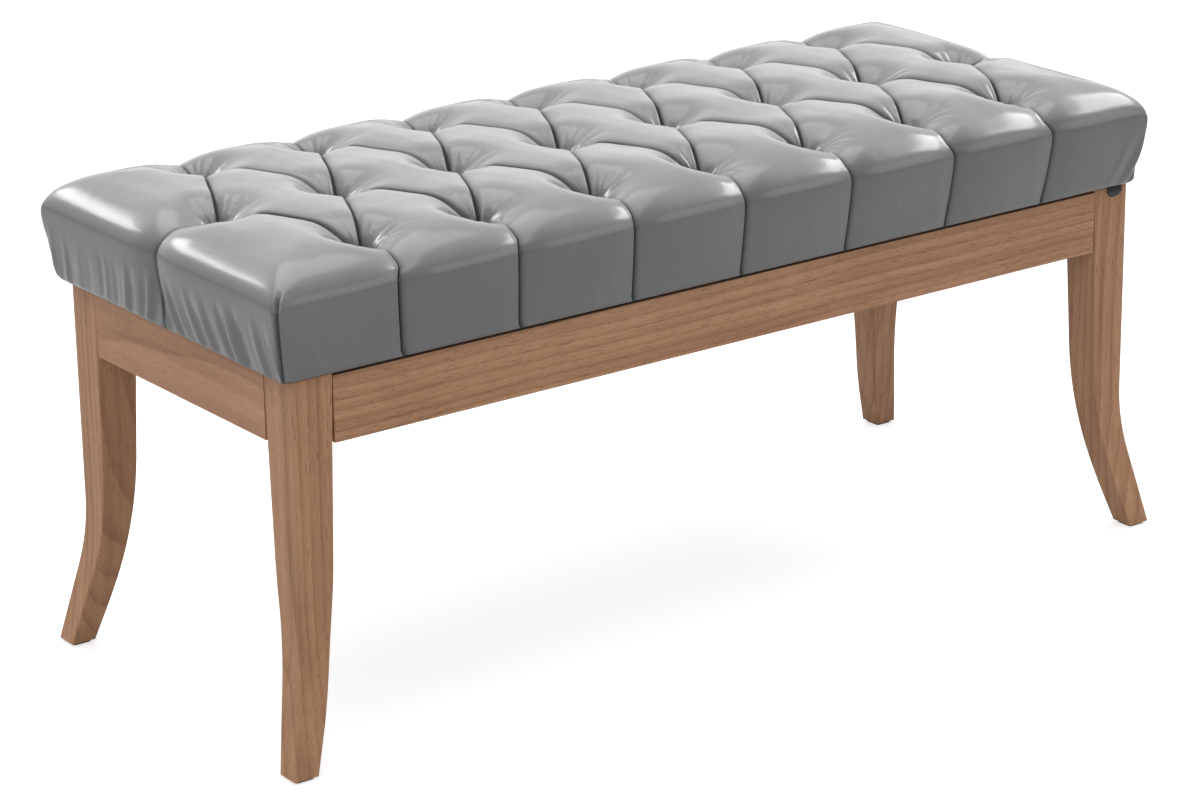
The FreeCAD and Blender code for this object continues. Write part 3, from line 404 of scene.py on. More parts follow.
pad = {
    "middle": -4.0,           # the pad sits 4 mm to the left on the frame
    "halfLength": 476.0,      # of the frame under it
    "halfWidth": 183.75,
    "underside": 351.4,       # its lower face, over the floor
    "tufts": 8,               # in the middle row; the outer rows have one fewer
    "pitch": 121.4,           # between tufts in a row
    "rowGap": 132.2,          # between rows
    "fine": 48,               # cells between two tufts' columns, and between two rows
    "outer": 28,              # cells from the outer tufts to the rim

    # the body: its widest outline, the dome over it and the flank under it
    "bulge": 17.0,            # furthest past the frame, at bulgeHeight
    "bulgeHeight": 67.0,
    "domeRise": 38.0,         # from there up to the crown
    "domeReach": 80.0,        # and inwards to where the top is level
    "rimAt": 8.0,             # inwards from the bulge, where top and sides meet
    "rimCorner": 6.0,
    "cornerGrowth": 0.1,      # of the corners' radius, for each mm further out
    "cornerLimits": (4.0, 7.0),
    "heel": (8.5, 8.5),       # past the frame and over the underside, where it turns under
    "flankPull": 13.0,        # from the bulge the flank heads straight down for so long
    "heelTuck": 1.0,
    "underStart": 1.5,        # past the frame, where the cover lies flat under the board
    "hem": 36.0,              # width of the cover under the board
    "hemMiddle": 20.0,
    "coverThick": 1.5,
    "boardGap": 2.5,          # between the frame's outline and the board
    "boardTop": 13.5,
    "sideSteps": (9, 27, 8, 11),     # down the dome, flank and heel, and under the board

    # the tufts: a dimple each, with fine folds that run out of it
    "tuftDepth": 33.0,
    "tuftFloor": 3.0,         # radius of a dimple's floor, round its tie
    "tuftReach": 17.0,        # how fast its bank flattens out
    "tuftMouth": (23.2, 58.0),       # where the bank fades out
    "wrinkle": 0.9,
    "wrinkleCounts": (8, 11, 14, 19, 23),
    "wrinkleWeights": (0.5, 1.1),
    "wrinkleSharp": 0.7,      # under 1 makes their hollows sharper than their ridges
    "wrinklePatch": 0.4,      # how much weaker they are on one side of a tuft
    "wrinkleCurl": 0.004,     # in radians for each mm away from the tuft
    "wrinkleStart": (3.0, 12.0),
    "wrinkleEnd": (16.0, 52.0),

    # the pleats: lapped ones, and open ones between the tufts the other way
    "pleatDepth": 4.2,
    "pleatHigh": 9.0,         # reach of the bank that ends in the lip
    "pleatLow": 15.0,         # and of the one that rises out of the groove
    "highShare": 0.3,         # how deep the lip's bank is drawn in, as a share of the pleat
    "lipRise": 0.35,
    "lipPlace": -1.9,
    "lipWidth": 1.7,
    "lipEdge": -0.4,          # where the lip ends and the groove begins
    "groove": 2.4,
    "grooveWidth": 1.2,
    "gap": 5.6,               # depth and half width of an open pleat's furrow
    "gapWide": 2.6,
    "gapSteep": 0.45,         # width of its near face, as a share of its far one's
    "gapLip": 1.5,            # how much its banks droop towards it
    "gapBanks": (7.0, 13.0),
    "gapLoss": 0.6,           # how much shallower it is in the back half
    "gapTurn": 20.0,
    "gapShade": (0.5, 0.9),
    "swell": 3.6,             # how much each pillow rounds up from its folds
    "swellReach": 52.0,
    "handOver": 30.0,         # past the outer tufts, where the edge pleats take over

    # the edge pleats, down over the sides, and the cover's gathers and seams there
    "sidePleat": 4.2,
    "sideHigh": 24.0,
    "sideLow": 32.0,
    "sideWiden": 45.0,        # past the outer tufts, where they have got that wide
    "sideFade": 0.3,          # how much shallower they are at the bottom
    "sideHold": (-0.5, 6.0),  # heights over which the stapled hem lets them begin
    "sinkTurn": (4.0, 16.0),  # fall over which the sink turns from down to inwards
    "droopFrom": 10.0,        # height from which the sides follow the rim up
    "gather": 1.5,
    "gatherWidths": (9.0, 28.0),
    "gatherPatches": (60.0, 180.0),
    "gatherShares": (-1.6, 0.7),
    "gatherSide": 0.08,       # what is left of them on the long sides
    "gatherEnd": 50.0,
    "gatherHeights": (14.0, 62.0),   # full under the first, none over the second
    "gatherBend": 0.004,      # they fan out on the way down
    "seamOff": 1.5,           # between a corner and the fold beside it
    "seamDepth": 1.5,
    "seamHigh": 14.0,
    "seamLow": 10.0,
    "seamLap": 1.3,

    # the slow unevenness of the stuffing, and small ripples
    "uneven": 0.45,
    "unevenWidths": (70.0, 150.0),
    "unevenFade": 0.9,
    "ripple": 0.05,
    "rippleWidths": (16.0, 34.0),
}
rowEnd = (pad["tufts"] - 1) / 2 * pad["pitch"]       # the last tuft of the middle row
rim = pad["bulge"] - pad["rimAt"]
rimX, rimY = pad["halfLength"] + rim, pad["halfWidth"] + rim
farAway = 99.0                                       # stands for no fold near
touch = 0.01                                         # closer than this counts as on a line


def tuftCentres():
    pitch, gap, count = pad["pitch"], pad["rowGap"], pad["tufts"]
    outer = [((i - (count - 2) / 2) * pitch, side * gap)
             for side in (-1, 1) for i in range(count - 1)]
    return outer + [((i - (count - 1) / 2) * pitch, 0.0) for i in range(count)]


def nearestColumn(gridX):
    # the place of the nearest tuft of an outer row
    last = (pad["tufts"] - 2) // 2
    return np.clip(np.round(gridX / pad["pitch"]), -last, last) * pad["pitch"]


def gridLines(inner, end, fine, outer):
    # even steps between the outermost tufts, then even steps out to the rim
    middle = np.linspace(-inner, inner, fine + 1)
    edge = np.linspace(inner, end, outer + 1)[1:]
    return np.concatenate([-edge[::-1], middle, edge])


def topLines():
    columns = gridLines(rowEnd, rimX, 2 * (pad["tufts"] - 1) * pad["fine"], pad["outer"])
    rows = gridLines(pad["rowGap"], rimY, 2 * pad["fine"], pad["outer"])
    return columns, rows


def domeFall(inward):
    # how far the top lies under its crown, by distance from the widest outline: a quarter ellipse
    level = np.clip(inward / pad["domeReach"], 0, 1)
    return pad["domeRise"] * (1 - np.sqrt(1 - (1 - level) ** 2))


def topFall(gridX, gridY):
    # the falls towards the ends and the long sides, put together so that they blend at a corner
    fallX = domeFall(pad["halfLength"] + pad["bulge"] - np.abs(gridX))
    fallY = domeFall(pad["halfWidth"] + pad["bulge"] - np.abs(gridY))
    return (fallX ** 4 + fallY ** 4) ** 0.25


def outlineRing(gridX, gridY, halfX, halfY, corner, onEnd):
    # a point of the rim's rectangle carried to a rounded rectangle of another size: the last few
    # mm before each corner go round an eighth of a circle
    flatX, flatY = rimX - pad["rimCorner"], rimY - pad["rimCorner"]
    turnX = np.clip((np.abs(gridX) - flatX) / pad["rimCorner"], 0, 1) * pi / 4
    turnY = np.clip((np.abs(gridY) - flatY) / pad["rimCorner"], 0, 1) * pi / 4
    straightX = np.minimum(np.abs(gridX), flatX) * (halfX - corner) / flatX
    straightY = np.minimum(np.abs(gridY), flatY) * (halfY - corner) / flatY
    turn = np.where(onEnd, pi / 2 - turnY, turnX)
    x = np.where(onEnd, halfX - corner, straightX) + corner * np.sin(turn)
    y = np.where(onEnd, straightY, halfY - corner) + corner * np.cos(turn)
    ways = np.stack([np.sign(gridX) * np.sin(turn), np.sign(gridY) * np.cos(turn)], -1)
    return np.sign(gridX) * x, np.sign(gridY) * y, ways


def lappedFold(across, depth, highReach, lowReach, lap=1.0):
    # a pleat that laps over: the bank before it stays high and ends in a rounded lip, which lies
    # over a groove, and the bank past it rises out of the groove in a long curve
    high = np.clip(1 + across / highReach, 0, 1) ** 2 * depth * pad["highShare"]
    lip = np.exp(-((across - pad["lipPlace"]) / pad["lipWidth"]) ** 2)
    high = high - lap * pad["lipRise"] * lip
    low = np.clip(1 - np.abs(across) / lowReach, 0, 1) ** 2 * depth
    low = low + lap * pad["groove"] * np.exp(-(across / pad["grooveWidth"]) ** 2)
    return np.where(across < pad["lipEdge"], high, low)


def openFold(across, share):
    # a pleat that stands open: its banks droop a little towards a furrow, whose near face is
    # steep and whose far face shows
    before = np.clip(1 + across / pad["gapBanks"][0], 0, 1) ** 2
    past = np.clip(1 - across / pad["gapBanks"][1], 0, 1) ** 2
    width = np.where(across < 0, pad["gapSteep"] * pad["gapWide"], pad["gapWide"])
    furrow = share * pad["gap"] * np.exp(-(across / width) ** 2)
    return np.where(across < 0, pad["gapLip"] * before, pad["gapLip"] * past) + furrow


def nearer(first, second):
    # of two distances from a fold, the shorter one, with its sign
    return np.where(np.abs(first) < np.abs(second), first, second)


def hollow(across):
    # 1 on a fold, 0 where the pillow beside it is at its fullest
    return np.clip(1 - np.abs(across) / pad["swellReach"], 0, 1) ** 2


def tuftSink(gridX, gridY):
    # dimples, steep in the middle and long at the edge, and the fine folds that run out of them:
    # a sum of waves in the direction from the tuft
    dimples = np.zeros_like(gridX)
    wrinkles = np.zeros_like(gridX)
    dice = np.random.default_rng(7)
    for centreX, centreY in tuftCentres():
        awayX, awayY = gridX - centreX, gridY - centreY
        away = np.hypot(awayX, awayY)
        bank = np.exp(-np.clip(away - pad["tuftFloor"], 0, None) / pad["tuftReach"])
        dimples = dimples + pad["tuftDepth"] * bank * (1 - ramp01(away, *pad["tuftMouth"]))
        turn = np.arctan2(awayY, awayX) + pad["wrinkleCurl"] * away * dice.uniform(-1, 1)
        folds = 0
        for count in pad["wrinkleCounts"]:
            wave = np.abs(np.sin(0.5 * count * turn + dice.uniform(0, 2 * pi)))
            weight = dice.uniform(*pad["wrinkleWeights"])
            folds = folds + (0.5 - wave ** pad["wrinkleSharp"]) * weight
        side = np.sin(2 * turn + dice.uniform(0, 2 * pi))
        patch = 1 - pad["wrinklePatch"] + pad["wrinklePatch"] * side
        hold = ramp01(away, *pad["wrinkleStart"]) * (1 - ramp01(away, *pad["wrinkleEnd"])) * patch
        wrinkles = wrinkles + folds * hold
    return dimples, pad["wrinkle"] * wrinkles


def acrossPleats(gridX, gridY):
    # the folds between tufts run two ways. For each way: how far each point is, to the right,
    # from the nearest fold, with the lines continued past the outer rows, and where that fold
    # crosses the middle row
    pitch, gap, half = pad["pitch"], pad["rowGap"], pad["tufts"] // 2
    lean = gap / sqrt(gap ** 2 + (pitch / 2) ** 2)
    for way in (-1, 1):
        place = (gridX + way * 0.5 * pitch / gap * gridY) / pitch + 0.5
        number = np.clip(np.round(place), 1 - half, half)
        yield way, (place - number) * pitch * lean, (number - 0.5) * pitch


def pleatSink(gridX, gridY):
    # the folds between tufts: their depth, and how far each point is from the nearest one
    valley = np.zeros_like(gridX)
    near = np.full_like(gridX, farAway)
    for way, across, middle in acrossPleats(gridX, gridY):
        # a line from the last tuft of the middle row runs only back towards the middle
        last = np.abs(middle) > rowEnd - touch
        lost = last & (np.abs(gridX) > np.abs(middle) + touch)
        across = np.where((np.abs(gridY) > pad["rowGap"] + touch) | lost, farAway, across)
        if way == 1:
            share = 1 - pad["gapLoss"] * ramp01(gridY, -pad["gapTurn"], pad["gapTurn"])
            fold = openFold(across, share)
            shade = across / (pad["gapShade"][0] + pad["gapShade"][1] * share)
        else:
            fold = lappedFold(across, pad["pleatDepth"], pad["pleatHigh"], pad["pleatLow"])
            shade = across
        valley = np.maximum(valley, fold)
        near = nearer(shade, near)
    return valley, near


def edgePleats(gridX, gridY):
    # the folds that run straight from the outer tufts to the rim, wider as they go
    pastRow, pastEnd = np.abs(gridY) - pad["rowGap"], np.abs(gridX) - rowEnd
    acrossX = np.where(pastRow > -touch, gridX - nearestColumn(gridX), farAway)
    acrossY = np.where(pastEnd > -touch, gridY, farAway)
    valley = 0
    for across, past in ((acrossX, pastRow), (acrossY, pastEnd)):
        wider = ramp01(past, 0, pad["sideWiden"])
        high = pad["pleatHigh"] + (pad["sideHigh"] - pad["pleatHigh"]) * wider
        low = pad["pleatLow"] + (pad["sideLow"] - pad["pleatLow"]) * wider
        valley = np.maximum(valley, lappedFold(across, pad["sidePleat"], high, low))
    return valley, nearer(acrossX, acrossY)


def pillowSink(gridX, gridY):
    # pillows round up from their folds: a product of one swell for each fold. The folds between
    # tufts hand over to those that run to the rim in the first stretch past the outer tufts
    pastRow = ramp01(np.abs(gridY), pad["rowGap"], pad["rowGap"] + pad["handOver"])
    pastEnd = ramp01(np.abs(gridX), rowEnd, rowEnd + pad["handOver"])
    full = 1
    for _, across, _ in acrossPleats(gridX, gridY):
        full = full * (1 - hollow(across) * (1 - pastRow) * (1 - pastEnd))
    full = full * (1 - hollow(gridX - nearestColumn(gridX)) * pastRow)
    full = full * (1 - hollow(gridY) * pastEnd)
    return pad["swell"] * (1 - full)


def padTop(columns, rows):
    # the top's grid, how far each point is drawn in, its nearest fold, and the slow unevenness
    gridX, gridY = np.meshgrid(columns, rows)
    tuft, wrinkles = tuftSink(gridX, gridY)
    valley, near = pleatSink(gridX, gridY)
    edgeValley, edgeNear = edgePleats(gridX, gridY)
    uneven = (pad["uneven"] * ripples(gridX, gridY, 3, 9, pad["unevenWidths"])
              + pad["ripple"] * ripples(gridX, gridY, 5, 9, pad["rippleWidths"]))
    sink = tuft + np.maximum(valley, edgeValley) + pillowSink(gridX, gridY) + wrinkles
    return gridX, gridY, sink, nearer(edgeNear, near), uneven


def rimOrder(columnCount, rowCount):
    # the top's outermost points, once round, against the clock from the front left corner
    index = np.arange(columnCount * rowCount).reshape(rowCount, columnCount)
    return np.concatenate([index[0, :-1], index[:-1, -1], index[-1, :0:-1], index[:0:-1, 0]])


def curveThrough(start, pull, end, count):
    # a parabola from start to end, headed for the pull point, without its first point
    share = np.linspace(0, 1, count)[1:, None]
    return ((1 - share) ** 2 * np.array(start) + 2 * share * (1 - share) * np.array(pull)
            + share ** 2 * np.array(end))


def sideProfile():
    # (past the frame, above the underside), from the rim down, under, and in round the board
    domeSteps, flankSteps, heelSteps, underSteps = pad["sideSteps"]
    bulge, high, heel, hem = pad["bulge"], pad["bulgeHeight"], pad["heel"], pad["hem"]
    start = np.arccos(1 - pad["rimAt"] / pad["domeReach"])
    turn = np.linspace(start, 0, domeSteps)[1:]
    dome = np.stack([bulge - pad["domeReach"] * (1 - np.cos(turn)),
                     high + pad["domeRise"] * np.sin(turn)], -1)
    flank = curveThrough((bulge, high), (bulge, high - pad["flankPull"]), heel, flankSteps)
    under = (pad["underStart"], 0.0)
    tuck = curveThrough(heel, (heel[0] - pad["heelTuck"], 0.0), under, heelSteps)
    flat = np.linspace(under, (-hem, 0.0), underSteps)[1:]
    thick, top, board = pad["coverThick"], pad["boardTop"], -pad["boardGap"]
    inside = np.array([(-hem, thick), (-pad["hemMiddle"], thick), (board, thick),
                       (board, (thick + top) / 2), (board, top)])
    outside = len(dome) + len(flank) + len(tuck)
    return np.concatenate([dome, flank, tuck, flat, inside]), outside


def cornerSeam(edgeX, edgeY, onEnd):
    # how far round the outline each point is from the fold beside its corner, which lies just
    # on the long side
    return pad["seamOff"] + np.where(onEnd, rimY - np.abs(edgeY), np.abs(edgeX) - rimX)


def endGathers(edgeX, edgeY, across, height):
    # small upright folds under the rim, in uneven patches, nearly all of them on the ends
    step = np.hypot(np.diff(edgeX, prepend=edgeX[0]), np.diff(edgeY, prepend=edgeY[0]))
    along = np.cumsum(step)[None]
    bent = along + pad["gatherBend"] * (pad["bulgeHeight"] - height) ** 2 * np.sign(across)
    waves = ripples(bent, 0, 11, 11, pad["gatherWidths"])
    patch = ramp01(ripples(along, 0, 13, 5, pad["gatherPatches"]), *pad["gatherShares"])
    atEnd = ramp01(np.abs(edgeX), rimX - pad["gatherEnd"], rimX)[None]
    share = pad["gatherSide"] + (1 - pad["gatherSide"]) * atEnd
    low, high = pad["gatherHeights"]
    return pad["gather"] * waves * patch * share * ramp01(-height, -high, -low)


def padSides(edgeX, edgeY, onEnd):
    # rings of points below the rim's own, one for each point of the side's profile: the outline
    # is carried outwards by the profile, and folds, gathers and seams push it in again
    profile, outerRows = sideProfile()
    past, height = profile[:, 0][:, None], profile[:, 1][:, None]
    corner = np.clip(pad["rimCorner"] + (past - rim) * pad["cornerGrowth"], *pad["cornerLimits"])
    x, y, ways = outlineRing(edgeX[None], edgeY[None], pad["halfLength"] + past,
                             pad["halfWidth"] + past, corner, onEnd[None])
    outside = np.arange(len(profile))[:, None] < outerRows
    rimFall = topFall(edgeX, edgeY)
    fade = (height - pad["droopFrom"]) / (pad["bulgeHeight"] - pad["droopFrom"])
    z = height - (rimFall - rimFall.min())[None] * np.clip(fade, 0, 1)

    across = np.where(onEnd, edgeY, edgeX - nearestColumn(edgeX))[None]
    seam = cornerSeam(edgeX, edgeY, onEnd)[None]
    down = ramp01(-height, -pad["bulgeHeight"], 0)
    hold = np.where(outside, 1 - pad["sideFade"] * down, 0) * ramp01(height, *pad["sideHold"])
    push = lappedFold(across, pad["sidePleat"], pad["sideHigh"], pad["sideLow"])
    push = push + pad["swell"] * hollow(across)
    push = push + endGathers(edgeX, edgeY, across, height)
    push = push + lappedFold(seam, pad["seamDepth"], pad["seamHigh"], pad["seamLow"],
                             pad["seamLap"])
    push = push * hold
    # the push leans over with the dome, and is level from the bulge down
    rise = np.clip((height - pad["bulgeHeight"]) / pad["domeRise"], 0, 1)
    lean = np.arctan2(pad["domeReach"] * rise, pad["domeRise"] * np.sqrt(1 - rise ** 2))
    side = np.stack([x - ways[..., 0] * np.cos(lean) * push,
                     y - ways[..., 1] * np.cos(lean) * push, z - np.sin(lean) * push], -1)
    return side, np.broadcast_to(nearer(seam, across), x.shape)


def makePad():
    columns, rows = topLines()
    gridX, gridY, sink, near, uneven = padTop(columns, rows)
    fall = topFall(gridX, gridY)
    slopeY, slopeX = np.gradient(fall, rows, columns)
    normal = np.stack([slopeX, slopeY, np.ones_like(fall)], -1)
    normal /= np.linalg.norm(normal, axis=-1, keepdims=True)
    top = np.stack([gridX, gridY, pad["bulgeHeight"] + pad["domeRise"] - fall], -1)
    outer = ramp01(fall, *pad["sinkTurn"])
    top[..., 2] += uneven * (1 - pad["unevenFade"] * outer) - sink * (1 - outer)
    top -= normal * (sink * outer)[..., None]
    # the rim's corners are drawn in to round corners
    top = top.reshape(-1, 3)
    order = rimOrder(len(columns), len(rows))
    edgeX, edgeY = gridX.ravel()[order], gridY.ravel()[order]
    onEnd = np.abs(edgeY) < rows[-1] - touch
    ringX, ringY, _ = outlineRing(edgeX, edgeY, rimX, rimY, pad["rimCorner"], onEnd)
    top[order, 0] += ringX - edgeX
    top[order, 1] += ringY - edgeY

    side, sideNear = padSides(edgeX, edgeY, onEnd)
    rings, around, topCount = len(side), len(order), len(top)
    points = np.concatenate([top, side.reshape(-1, 3)])
    points += (pad["middle"], 0, pad["underside"])
    ring = topCount + np.arange(around)
    belt = np.stack([order, ring, np.roll(ring, -1), np.roll(order, -1)], -1)
    walls = gridFaces(rings, around, closed=True, first=topCount)[:, ::-1]
    closing = (ring + (rings - 1) * around)[None]
    piece = buildMesh("seat_pad", points, [topTriangles(columns, rows), belt, walls, closing])
    # the material reads these two numbers to paint shade into the folds' grooves and the tufts'
    # dimples
    pointNumber(piece, "fold", np.concatenate([near.ravel(), sideNear.ravel()]))
    pointNumber(piece, "depth", np.concatenate([sink.ravel(), np.zeros(sideNear.size)]))
    return piece


def topTriangles(columns, rows):
    # each cell is cut along the fold that crosses it, so the folds are edges of the mesh
    count = len(columns)
    row = np.arange(len(rows) - 1)[:, None]
    column = np.arange(count - 1)[None]
    a = (row * count + column).ravel()
    b, c, d = a + 1, a + count + 1, a + count
    midX = 0.5 * (columns[1:] + columns[:-1])[None]
    midY = 0.5 * (rows[1:] + rows[:-1])[:, None]
    block = np.floor((midX + rowEnd) / (pad["pitch"] / 2)).astype(int) % 2
    falling = ((block == 0) ^ (midY > 0)).ravel()
    first = np.where(falling[:, None], np.stack([a, b, d], -1), np.stack([a, b, c], -1))
    second = np.where(falling[:, None], np.stack([b, c, d], -1), np.stack([a, c, d], -1))
    return np.concatenate([first, second])


skin = {
    "light": (0.120, 0.122, 0.126),
    "dark": (0.100, 0.102, 0.105),
    "cloudScale": 11.0,
    # painted shade: the near-black colour laid into each fold's groove and up the bank past it
    "paintedCreaseShade": (0.006, 0.006, 0.007),
    "creaseShadeReach": 4.2,       # mm over which the painted crease shade thins out past the lip, and on the lip
    "creaseShadeLip": 0.4,
    # painted shade: the dark colour laid into the deep middle of each tuft's dimple
    "paintedPitShade": (0.016, 0.016, 0.018),
    "pitShadeFrom": 15.0,          # mm of depth at which the shade painted into a tuft begins
    "pitShadeOver": 19.0,          # and over which that painted shade gets as dark as it does
    "pitShadeShare": 0.85,
    "coat": 0.85,
    "rough": 0.34,
    "wearRough": 0.18,
    "wearScale": 60.0,
    "pebbleScale": 900.0,     # the fine pebbled grain
    "fineScale": 1700.0,
    "pebbleBump": 0.00006,
    "crinkleScale": 75.0,     # the soft crinkles of the cover
    "crinkleBump": 0.0011,
}


def leatherette(name):
    # grey and glossy, with shade painted into the folds and into the tufts' dimples
    material, tree, shader = newMaterial(name, Coat_Weight=skin["coat"], Coat_Roughness=0.17,
                                         Specular_IOR_Level=0.5)
    place = objectPlace(tree)
    fold = addNode(tree, "Attribute", {"attribute_name": "fold"}).outputs["Fac"]
    depth = addNode(tree, "Attribute", {"attribute_name": "depth"}).outputs["Fac"]
    # painted shade: it lies in the groove beyond the lip and thins out up the bank past it, and
    # the coat is taken off there too
    past = mathNode(tree, "DIVIDE", mathNode(tree, "MAXIMUM", fold, 0.0), skin["creaseShadeReach"])
    past = times(tree, mathNode(tree, "POWER", past, 2.0), -1.0)
    lip = mathNode(tree, "DIVIDE", mathNode(tree, "MINIMUM", fold, 0.0), skin["creaseShadeLip"])
    paintedCreaseShade = times(tree, mathNode(tree, "EXPONENT", past), mathNode(tree, "EXPONENT", lip))
    # painted shade in each tuft's dimple, darker the deeper the cover is drawn in
    paintedPitShade = mathNode(tree, "MAXIMUM", mathNode(tree, "SUBTRACT", depth, skin["pitShadeFrom"]), 0.0)
    paintedPitShade = mathNode(tree, "DIVIDE", paintedPitShade, skin["pitShadeOver"])
    paintedPitShade = times(tree, mathNode(tree, "SMOOTH_MIN", paintedPitShade, 1.0, 0.1), skin["pitShadeShare"])
    cloud = noise(tree, place, skin["cloudScale"], 3.0, 0.5)
    colour = colourRamp(tree, cloud, [(0.3, skin["dark"]), (0.7, skin["light"])])
    colour = mixColours(tree, paintedCreaseShade, colour, skin["paintedCreaseShade"])
    colour = mixColours(tree, paintedPitShade, colour, skin["paintedPitShade"])
    tree.links.new(colour, shader.inputs["Base Color"])
    coat = mathNode(tree, "MULTIPLY_ADD", paintedCreaseShade, -skin["coat"], skin["coat"])
    tree.links.new(coat, shader.inputs["Coat Weight"])
    wear = noise(tree, place, skin["wearScale"], 3.0, 0.6)
    varyRoughness(tree, shader, wear, skin["wearRough"], skin["rough"])

    cells = addNode(tree, "TexVoronoi", {"feature": "DISTANCE_TO_EDGE"},
                    {"Scale": skin["pebbleScale"]}, Vector=place).outputs["Distance"]
    fine = noise(tree, place, skin["fineScale"], 2.0, 0.6)
    pebbles = mathNode(tree, "MULTIPLY_ADD", mathNode(tree, "SMOOTH_MIN", cells, 0.12, 0.06), 3.0,
                       times(tree, fine, 0.5))
    crinkle = noise(tree, objectPlace(tree, stretch=(1, 0.55, 1)), skin["crinkleScale"], 3.0, 0.55)
    soft = addNode(tree, "Bump", inputs={"Distance": skin["crinkleBump"], "Strength": 0.35},
                   Height=crinkle).outputs["Normal"]
    bump = addNode(tree, "Bump", inputs={"Distance": skin["pebbleBump"], "Strength": 0.5},
                   Height=pebbles, Normal=soft).outputs["Normal"]
    tree.links.new(bump, shader.inputs["Normal"])
    return material


seatPad = makePad()
paint(seatPad, leatherette("grey_leatherette"))
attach(seatPad, "root")
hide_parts("seat_cover", "seat_foam")
print("seat pad made:", len(seatPad.data.vertices), "points")


# The black cloth under the seat, and its gathered corner

dust = {
    "left": -477.0,           # the sheet's outline
    "right": 471.0,
    "half": 181.75,
    "level": 350.3,
    "thick": 0.5,
    "hem": (0, 1.2, 2.6, 4.2),       # close lines along the edges, and where the even ones begin
    "hemEnd": 6.0,
    "cells": (155, 59),
    "onFrame": 22.0,          # width that lies on the frame, and on each half of the rail
    "onRail": 14.0,
    "freeFrom": 60.0,
    "sag": 0.55,
    "sagUneven": 0.4,
    "sagMost": 1.6,
    "edgeBand": (0.5, 5.0),   # where the edges droop, except on the legs' tops
    "legClear": (42.0, 48.0),
    "droop": 1.75,
}


def hemLines(low, high, count):
    # even lines across the sheet, with close ones along both edges
    hem = np.array(dust["hem"])
    even = np.linspace(low + dust["hemEnd"], high - dust["hemEnd"], count)
    return np.concatenate([low + hem, even, (high - hem)[::-1]])


def dustCloth():
    # a flat sheet that sags a little where neither the frame nor the rail holds it, and whose
    # edges droop into the gap over the aprons
    across = hemLines(dust["left"], dust["right"], dust["cells"][0])
    deep = hemLines(-dust["half"], dust["half"], dust["cells"][1])
    x, y = np.meshgrid(across, deep)
    middle = (dust["left"] + dust["right"]) / 2
    inX, inY = dust["right"] - middle - np.abs(x - middle), dust["half"] - np.abs(y)
    free = (ramp01(inY, dust["onFrame"], dust["freeFrom"])
            * ramp01(inX, dust["onFrame"], dust["freeFrom"])
            * ramp01(np.abs(x), dust["onRail"], dust["freeFrom"]))
    waves = 1 + dust["sagUneven"] * ripples(x, y, 21, 7, (40, 110))
    z = dust["level"] - dust["sag"] * free * waves / dust["sagMost"]
    longSide = (1 - ramp01(inY, *dust["edgeBand"])) * ramp01(inX, *dust["legClear"])
    shortSide = (1 - ramp01(inX, *dust["edgeBand"])) * ramp01(inY, *dust["legClear"])
    z = z - dust["droop"] * np.maximum(longSide, shortSide)
    points = np.stack([x, y, z], -1).reshape(-1, 3)
    piece = buildMesh("dust_cloth", points, [gridFaces(len(deep), len(across))])
    return thicken(piece, dust["thick"])


def thicken(piece, thick):
    wall = piece.modifiers.new("thickness", "SOLIDIFY")
    wall.thickness, wall.offset = thick * mm, 0
    return piece


bundle = {
    "left": 449.5,            # between these two, over the front right leg
    "right": 468.5,
    "leg": -184.05,           # just in front of the leg's face
    "drop": 10.4,
    "leastDrop": 0.22,        # share of the drop at its two ends
    "out": 2.9,
    "square": 2.4,            # its outline, 2 for an ellipse and more for a squarer one
    "ends": 0.97,             # under 1 leaves its ends a little thickness
    "hang": 1.04,             # over 1, it tucks back in before the end of its drop
    "blunt": 0.7,
    "folds": 3.4,
    "foldDrift": 2.2,         # how far the folds slant over the drop
    "ridge": (1.1, 0.4, -0.3),
    "sway": 0.5,              # of the folds, sideways and up
    "lift": 0.35,
    "thick": 0.35,
    "points": (97, 61),
}


def dustCorner():
    # the spare cloth of one corner, gathered into a small round bundle that hangs out over the
    # leg's top: the first parameter runs along the edge, the second down the cloth
    edge, drop = np.meshgrid(*(np.linspace(0, 1, count) for count in bundle["points"]))
    bulk = np.sqrt(1 - np.abs(2 * edge - 1) ** bundle["square"] * bundle["ends"])
    full = bulk * np.sin(pi * np.clip(drop * bundle["hang"], 0, 1)) ** bundle["blunt"]
    wave = 2 * pi * bundle["folds"] * (edge + 0.06 * np.sin(2 * pi * edge + 1.0))
    wave = wave + bundle["foldDrift"] * drop
    main, small, shift = bundle["ridge"]
    ridges = main * np.abs(np.cos(0.5 * wave)) + small * np.sin(1.9 * wave + 3 * drop) + shift
    x = bundle["left"] + edge * (bundle["right"] - bundle["left"])
    x = x + bundle["sway"] * np.sin(wave + 0.6) * full
    y = bundle["leg"] - full * (bundle["out"] + ridges)
    hangs = bundle["leastDrop"] + (1 - bundle["leastDrop"]) * bulk
    z = dust["level"] - bundle["drop"] * hangs * drop + bundle["lift"] * np.sin(wave + 1.0) * full
    points = np.stack([x, y, z], -1).reshape(-1, 3)
    columns, rows = bundle["points"]
    piece = buildMesh("dust_cloth_corner", points, [gridFaces(rows, columns)[:, ::-1]])
    return thicken(piece, bundle["thick"])


